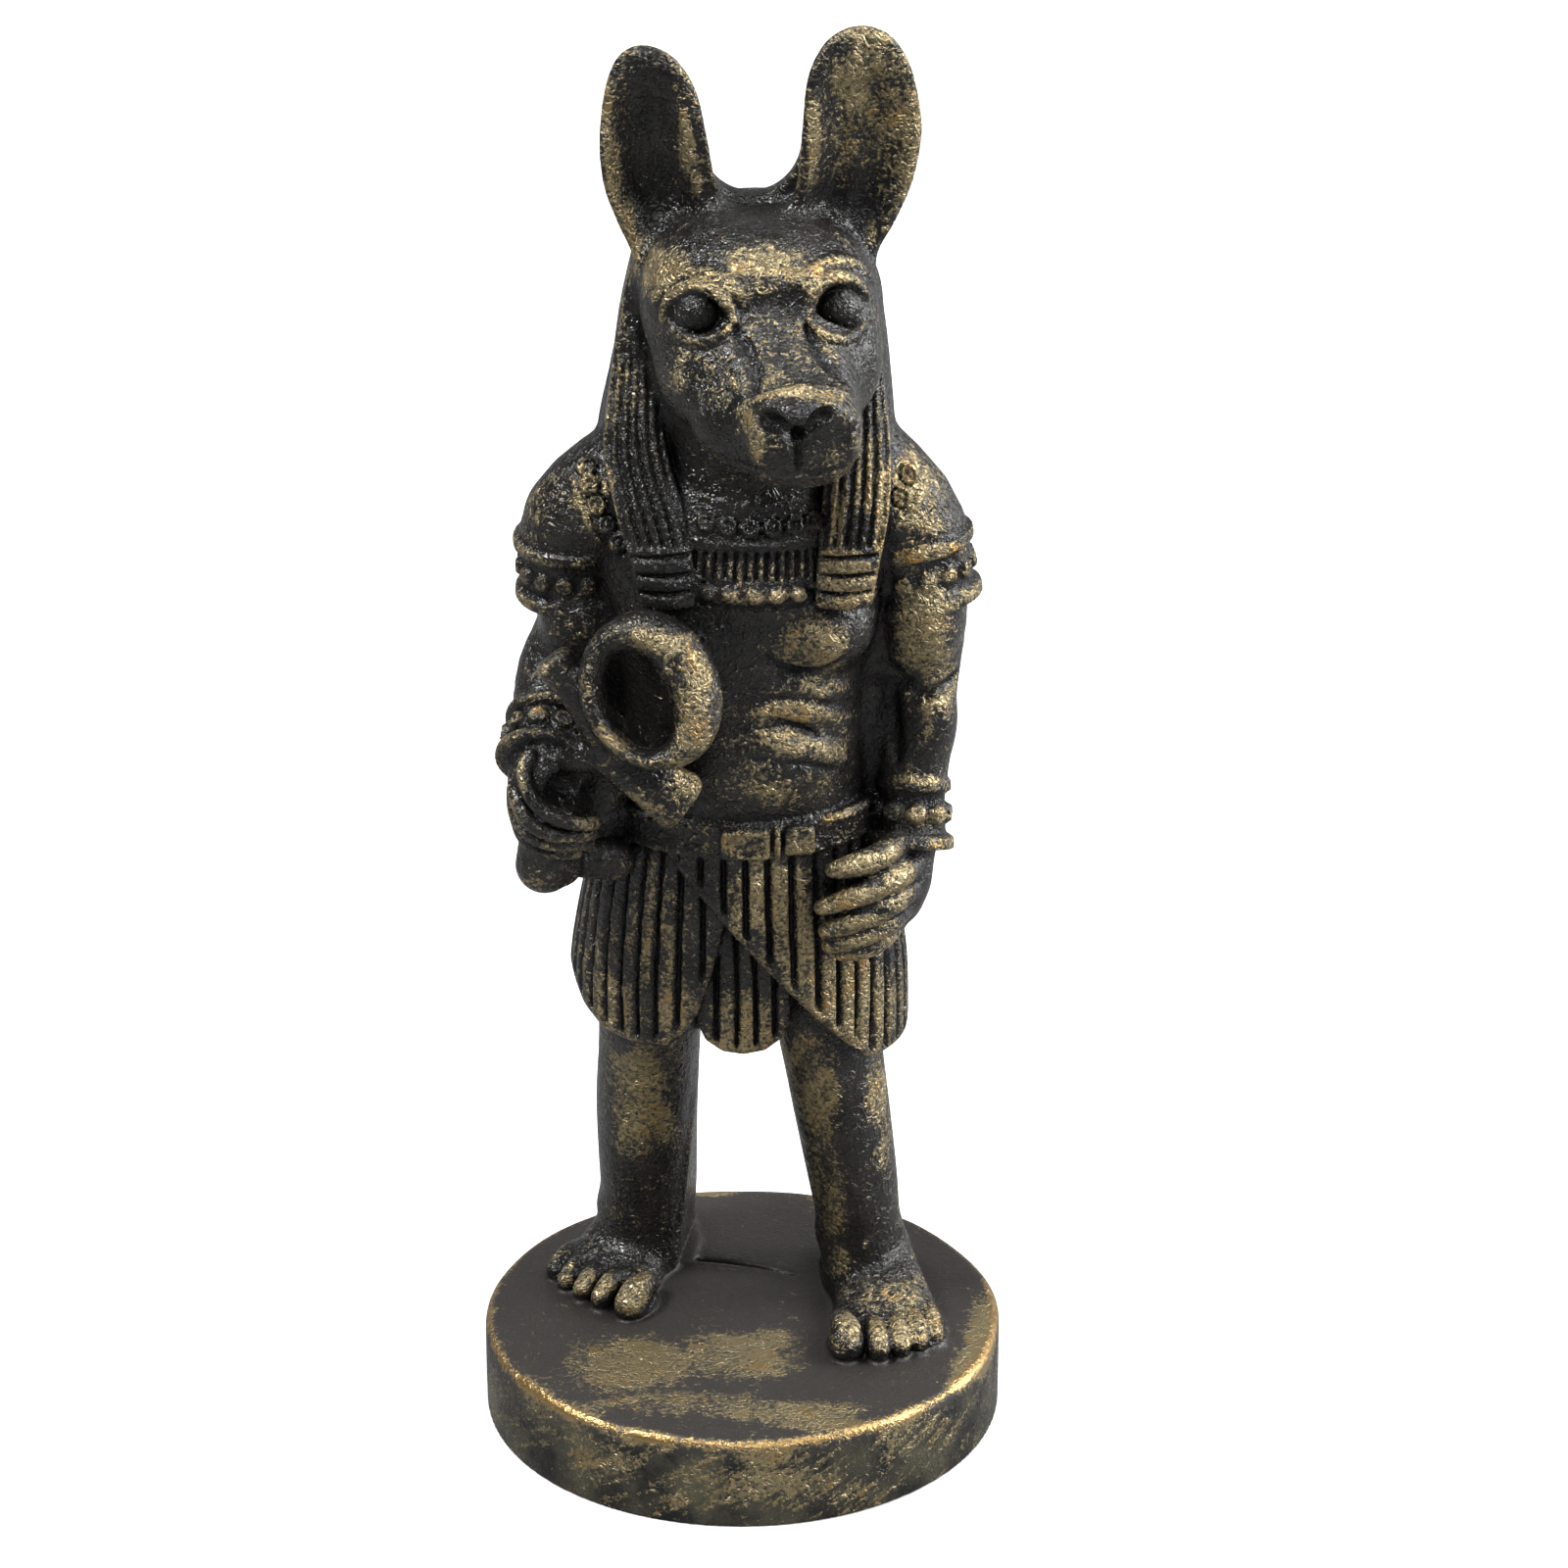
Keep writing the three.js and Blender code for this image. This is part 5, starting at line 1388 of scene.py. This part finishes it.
def dry_brush():
    """Group: how far metallic paint has caught on the surface, from 0 bare to 1 covered."""
    inputs = [("Raised", 0), ("Brushed", 0), ("Crests", 0.4), ("Streaks", 0.5), ("Bias", 0), ("Limit", 0.82)]
    nodes, given, out = shader_group("Dry brush", inputs, ["Cover", "Thick"])
    coords, brushed = given["Vector"], given["Brushed"]
    patches = nodes.noise(coords, 0.0042, 5.0, 0.65, twist=0.8)
    speckle = nodes.noise(coords, 0.00026, 3.0, 0.7, (0.5, 1, 1), (0, radians(-50), 0))
    streak = nodes.noise(coords, 0.0009, 3.0, 0.6, (0.25, 1, 1), (0, radians(35), radians(20)))
    amount = nodes.scaled(nodes.centred(patches), 2.3, given["Bias"])
    amount = nodes.scaled(given["Raised"], nodes.scaled(brushed, 0.4, 0.5), amount)
    amount = nodes.scaled(brushed, 1.15, amount)
    amount = nodes.math("MINIMUM", amount, given["Limit"])
    amount = nodes.scaled(nodes.centred(given["Crests"], 0.45), 2.0, amount)
    rough = nodes.times(nodes.centred(speckle), 2.3)
    streak = nodes.times(nodes.centred(streak), given["Streaks"])
    amount = nodes.math("ADD", amount, nodes.math("ADD", rough, streak))
    nodes.put(out["Cover"], nodes.step(amount, 0.08, 0.56))
    nodes.put(out["Thick"], nodes.step(amount, 0.2, 1.0))


SIDE_RADIUS_M = 0.0217
STROKE_RISE = radians(27)


def side_strokes(nodes, coords):
    """Strokes and patches round the side of the base, rising to the right."""
    place = nodes.add("ShaderNodeSeparateXYZ", {"Vector": coords}).outputs
    turn = nodes.math("ARCTAN2", place["X"], nodes.times(place["Y"], -1.0))
    around = nodes.times(turn, SIDE_RADIUS_M)
    along = nodes.scaled(place["Z"], sin(STROKE_RISE), nodes.times(around, cos(STROKE_RISE)))
    across = nodes.scaled(place["Z"], cos(STROKE_RISE), nodes.times(around, -sin(STROKE_RISE)))
    flat = nodes.add("ShaderNodeCombineXYZ", {"X": along, "Y": 0.0, "Z": across}).outputs[0]
    strokes = nodes.noise(flat, 0.0008, 3.0, 0.6, (0.09, 1, 1))
    patches = nodes.noise(flat, 0.006, 3.0, 0.55, (0.5, 1, 1))
    return nodes.scaled(nodes.centred(patches, 0.47), 2.8, nodes.times(nodes.centred(strokes), 4.4))


def painted_resin(settings):
    """Dark satin resin with gold dry-brushed over its raised places, and painted shade in its hollows."""
    material = bpy.data.materials.new("painted_resin_dry_brushed")
    material.use_nodes = True
    material.node_tree.nodes.clear()
    nodes = Nodes(material.node_tree)
    groups = bpy.data.node_groups
    resin_dark = (*settings.resin_dark, 1)
    coords = nodes.add("ShaderNodeTexCoord").outputs["Object"]
    raised, stands, brushed = nodes.mask("raised"), nodes.mask("standing_out"), nodes.mask("brushed")
    sheltered = nodes.mask("sheltered")
    edge, side, top = nodes.mask("base_edge"), nodes.mask("base_side"), nodes.mask("base_top")
    surface = nodes.add("ShaderNodeGroup", node_tree=groups["Cast surface"])
    nodes.put(surface.inputs["Vector"], coords)
    surface.inputs["Grain"].default_value = 0.5

    # How much gold there is: more on what stands out and where the brush went, less in shelter.
    on_base = nodes.math("MAXIMUM", side, top)
    catch = nodes.times(nodes.scaled(stands, 0.6, raised), nodes.scaled(on_base, -0.55, 1.0))
    bias = nodes.scaled(top, -0.12, nodes.scaled(side, -0.05, -0.25))
    bias = nodes.scaled(sheltered, -0.8, bias)
    bias = nodes.math("ADD", bias, nodes.times(side, side_strokes(nodes, coords)))
    strength = nodes.scaled(nodes.times(brushed, top), 0.35, nodes.scaled(edge, 0.85, brushed))
    gold = nodes.add("ShaderNodeGroup", node_tree=groups["Dry brush"])
    for name, value in (
        ("Vector", coords),
        ("Raised", catch),
        ("Brushed", strength),
        ("Crests", surface.outputs["Crests"]),
        ("Streaks", nodes.scaled(side, -0.7, 0.7)),
        ("Bias", bias),
        ("Limit", nodes.scaled(edge, 0.6, nodes.scaled(top, 0.3, 0.82))),
    ):
        nodes.put(gold.inputs[name], value)
    cover, thick = gold.outputs["Cover"], gold.outputs["Thick"]

    # The colour of the resin, with painted shade in hollows and sheltered places, then of the gold over it.
    worn = nodes.step(surface.outputs["Mottle"], 0.35, 0.7)
    dark = nodes.mix(worn, resin_dark, (*settings.resin_worn, 1))
    # Painted shade: fine hollows and sheltered places are darkened to the painted shade colour.
    hollow = nodes.step(nodes.times(raised, -1.0), 0.1, 0.9)
    hollow = nodes.math("MAXIMUM", hollow, nodes.times(sheltered, 0.9))
    dark = nodes.mix(hollow, dark, (*settings.painted_shade_dark, 1))
    dark = nodes.mix(nodes.times(top, 0.8), dark, (*settings.base_top, 1))
    tinted = nodes.step(nodes.noise(coords, 0.005), 0.35, 0.7)
    dark = nodes.mix(side, dark, nodes.mix(tinted, resin_dark, (*settings.base_side, 1)))
    warm = nodes.times(nodes.step(nodes.noise(coords, 0.003), 0.5, 0.75), nodes.step(thick, 0.2, 0.9))
    warm = nodes.math("MAXIMUM", warm, nodes.times(edge, 0.7))
    paint = nodes.mix(warm, (*settings.gold_pale, 1), (*settings.gold_warm, 1))
    paint = nodes.mix(thick, (*settings.gold_thin, 1), paint)
    color = nodes.mix(nodes.times(cover, 0.95), dark, paint)

    rough = nodes.blend(nodes.step(nodes.noise(coords, 0.0009), 0.3, 0.75), 0.15, 0.32)
    for where, value in ((hollow, 0.3), (top, 0.44), (cover, 0.3)):
        rough = nodes.blend(where, rough, value)
    # Hollows are also made partly metallic, so that they reflect in their dark colour: more painted shade.
    metal = nodes.math("MAXIMUM", nodes.times(cover, 0.86), nodes.times(hollow, 0.65))
    height = surface.outputs["Height"]
    for smooth in (top, sheltered):
        height = nodes.times(height, nodes.scaled(smooth, -0.6, 1.0))
    height = nodes.scaled(thick, 0.2, height)
    bump = nodes.add("ShaderNodeBump", {"Height": height, "Strength": 1.0, "Distance": 0.00019})
    shader = nodes.add(
        "ShaderNodeBsdfPrincipled",
        {"Base Color": color, "Roughness": rough, "Metallic": metal, "Normal": bump.outputs["Normal"]},
    )
    shader.inputs["Specular IOR Level"].default_value = 0.42
    end = nodes.add("ShaderNodeOutputMaterial")
    nodes.put(end.inputs["Surface"], shader.outputs["BSDF"])
    return material


CAMERA_LENS = 146.25
CAMERA_AWAY = 0.5176
CAMERA_PITCH = 25.2
CAMERA_AIM = (0.00352, 0.0, 0.05717)


def add_camera():
    """The camera, at the photograph's viewing angle."""
    lens = bpy.data.cameras.new("camera")
    lens.sensor_width = 36
    lens.lens = CAMERA_LENS
    lens.clip_start = 0.01
    lens.clip_end = 20
    camera = bpy.data.objects.new("camera", lens)
    tilt = radians(CAMERA_PITCH)
    x, y, z = CAMERA_AIM
    camera.location = (x, y - CAMERA_AWAY * cos(tilt), z + CAMERA_AWAY * sin(tilt))
    camera.rotation_euler = (pi / 2 - tilt, 0, 0)
    bpy.context.scene.collection.objects.link(camera)
    bpy.context.scene.camera = camera


# The lights: place, what they are aimed at, width and height, and power.
MIDDLE = (0, 0, 0.06)
LIGHTS = {
    "key": ((-0.45, -0.14, 0.74), MIDDLE, (0.22, 0.22), 8.5),
    "right": ((0.62, -0.06, 0.42), MIDDLE, (0.2, 0.3), 4.5),
    "side": ((0.62, 0.22, 0.34), MIDDLE, (0.45, 0.9), 7),
    "front": ((0.12, -0.6, 0.66), MIDDLE, (0.14, 0.14), 1.9),
    "backdrop": ((0, 0.1, 1.3), (0, 0.9, 0.1), (1.6, 0.5), 10),
}


def add_light(name, place, aim, size, power):
    lamp = bpy.data.lights.new(name, "AREA")
    lamp.shape = "RECTANGLE"
    lamp.size, lamp.size_y = size
    lamp.energy = power
    light = bpy.data.objects.new(name, lamp)
    light.location = place
    x, y, z = np.array(place) - aim
    light.rotation_euler = (np.arctan2(np.hypot(x, y), z), 0, np.arctan2(x, -y))
    bpy.context.scene.collection.objects.link(light)


def add_floor(settings):
    """A plain pale floor that curves up behind the figurine."""
    wide, near, far, high, bend = 1.6, -1.2, 0.9, 1.4, 0.35
    profile = [(near, 0.0), (far - bend, 0.0)]
    for step in range(1, 13):
        turn = pi / 2 * step / 12
        profile.append((far - bend + bend * sin(turn), bend - bend * cos(turn)))
    profile.append((far, high))
    corners = [(side * wide, y, z) for y, z in profile for side in (-1, 1)]
    faces = [(2 * i, 2 * i + 1, 2 * i + 3, 2 * i + 2) for i in range(len(profile) - 1)]
    mesh = bpy.data.meshes.new("floor")
    mesh.from_pydata(corners, [], faces)
    mesh.shade_smooth()
    floor = bpy.data.objects.new("floor", mesh)
    bpy.context.scene.collection.objects.link(floor)
    material = bpy.data.materials.new("pale_floor")
    material.use_nodes = True
    shader = material.node_tree.nodes["Principled BSDF"]
    # The figurine mirrors a dimmer table than the camera sees.
    nodes = Nodes(material.node_tree)
    mirrored = nodes.add("ShaderNodeLightPath").outputs["Is Glossy Ray"]
    dim = [0.2 * part for part in settings.floor_color]
    nodes.put(shader.inputs["Base Color"], nodes.mix(mirrored, (*settings.floor_color, 1), (*dim, 1)))
    shader.inputs["Roughness"].default_value = 0.9
    shader.inputs["Specular IOR Level"].default_value = 0.1
    mesh.materials.append(material)


def add_surroundings():
    """A pale room behind for the camera, and a dark one for what the figurine mirrors."""
    world = bpy.data.worlds.new("studio")
    world.use_nodes = True
    nodes = Nodes(world.node_tree)
    background = world.node_tree.nodes["Background"]
    seen_directly = nodes.add("ShaderNodeLightPath").outputs["Is Camera Ray"]
    background.inputs["Color"].default_value = (1, 1, 1, 1)
    nodes.put(background.inputs["Strength"], nodes.blend(seen_directly, 0.07, 0.95))
    bpy.context.scene.world = world


def color_property(name, description, default):
    return bpy.props.FloatVectorProperty(
        name=name, description=description, default=default, min=0, max=1, size=3, subtype="COLOR"
    )


class FigurineFormSettings(bpy.types.PropertyGroup):
    """How finely the figurine is carved."""

    cell: bpy.props.FloatProperty(
        name="Finest detail",
        description="Spacing of the grid that the form is carved on",
        default=0.00022,
        min=0.0001,
        max=0.001,
        unit="LENGTH",
        precision=5,
    )
    triangles: bpy.props.IntProperty(
        name="Triangles",
        description="Most triangles left by thinning, before the base is split finer",
        default=184000,
        min=10000,
        max=199000,
    )


class FigurineFinishSettings(bpy.types.PropertyGroup):
    """The colours of the resin, of the painted shade in its hollows and of the paint brushed over it."""

    resin_dark: color_property("Resin", "Dark body colour", (0.006, 0.0055, 0.0052))
    resin_worn: color_property("Worn resin", "Lighter, rubbed body colour", (0.013, 0.0118, 0.011))
    # Painted shade: the colour that hollows and sheltered places are darkened to.
    painted_shade_dark: color_property("Hollows", "Colour left in the hollows", (0.005, 0.0045, 0.0045))
    base_top: color_property("Base top", "Matt colour of the top of the base", (0.027, 0.0235, 0.0215))
    base_side: color_property("Base side", "Olive tint of the side of the base", (0.05, 0.046, 0.028))
    gold_pale: color_property("Pale gold", "Main colour of the brushed gold", (0.38, 0.305, 0.17))
    gold_warm: color_property("Warm gold", "Warmer patches of the gold", (0.43, 0.245, 0.075))
    gold_thin: color_property("Thin gold", "Gold where the brush was nearly dry", (0.15, 0.127, 0.08))


class FigurineStageSettings(bpy.types.PropertyGroup):
    """The floor and the lights."""

    floor_color: color_property("Floor", "Colour of the floor", (0.88, 0.88, 0.88))
    light: bpy.props.FloatProperty(
        name="Light", description="Strength of the studio lights", default=1.0, min=0, max=10
    )


class FIGURINE_OT_carve(bpy.types.Operator):
    """Carve the figurine and its base as one piece"""

    bl_idname = "figurine.carve"
    bl_label = "Carve figurine"

    def execute(self, context):
        clay, piece = casting(context.scene.figurine_form)
        write_masks(clay, piece)
        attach(piece, BODY)
        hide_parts(NODE)
        return {"FINISHED"}


class FIGURINE_OT_paint(bpy.types.Operator):
    """Paint the figurine: dark resin with gold brushed over it"""

    bl_idname = "figurine.paint"
    bl_label = "Paint figurine"

    def execute(self, context):
        cast_surface()
        dry_brush()
        piece = bpy.data.objects[PIECE]
        piece.data.materials.clear()
        piece.data.materials.append(painted_resin(context.scene.figurine_finish))
        return {"FINISHED"}


class FIGURINE_OT_stage(bpy.types.Operator):
    """Set up the floor, the lights and the camera"""

    bl_idname = "figurine.stage"
    bl_label = "Set up studio"

    def execute(self, context):
        settings = context.scene.figurine_stage
        add_floor(settings)
        add_camera()
        for name, (place, aim, size, power) in LIGHTS.items():
            add_light(name, place, aim, size, power * settings.light)
        add_surroundings()
        context.scene.view_settings.view_transform = "Standard"
        return {"FINISHED"}


class FIGURINE_PT_panel(bpy.types.Panel):
    """The figurine's steps and settings"""

    bl_idname = "FIGURINE_PT_panel"
    bl_label = "Figurine"
    bl_space_type = "VIEW_3D"
    bl_region_type = "UI"
    bl_category = "Figurine"

    def draw(self, context):
        scene = context.scene
        for settings, step in (
            (scene.figurine_form, "figurine.carve"),
            (scene.figurine_finish, "figurine.paint"),
            (scene.figurine_stage, "figurine.stage"),
        ):
            rows = self.layout.box()
            for name in settings.bl_rna.properties.keys():
                if name not in ("rna_type", "name"):
                    rows.prop(settings, name)
            rows.operator(step)


CLASSES = (
    FigurineFormSettings,
    FigurineFinishSettings,
    FigurineStageSettings,
    FIGURINE_OT_carve,
    FIGURINE_OT_paint,
    FIGURINE_OT_stage,
    FIGURINE_PT_panel,
)


def register():
    for item in CLASSES:
        bpy.utils.register_class(item)
    bpy.types.Scene.figurine_form = bpy.props.PointerProperty(type=FigurineFormSettings)
    bpy.types.Scene.figurine_finish = bpy.props.PointerProperty(type=FigurineFinishSettings)
    bpy.types.Scene.figurine_stage = bpy.props.PointerProperty(type=FigurineStageSettings)


def unregister():
    del bpy.types.Scene.figurine_stage
    del bpy.types.Scene.figurine_finish
    del bpy.types.Scene.figurine_form
    for item in reversed(CLASSES):
        bpy.utils.unregister_class(item)


def main():
    register()
    bpy.ops.figurine.carve()
    bpy.ops.figurine.paint()
    bpy.ops.figurine.stage()


if __name__ == "__main__":
    main()
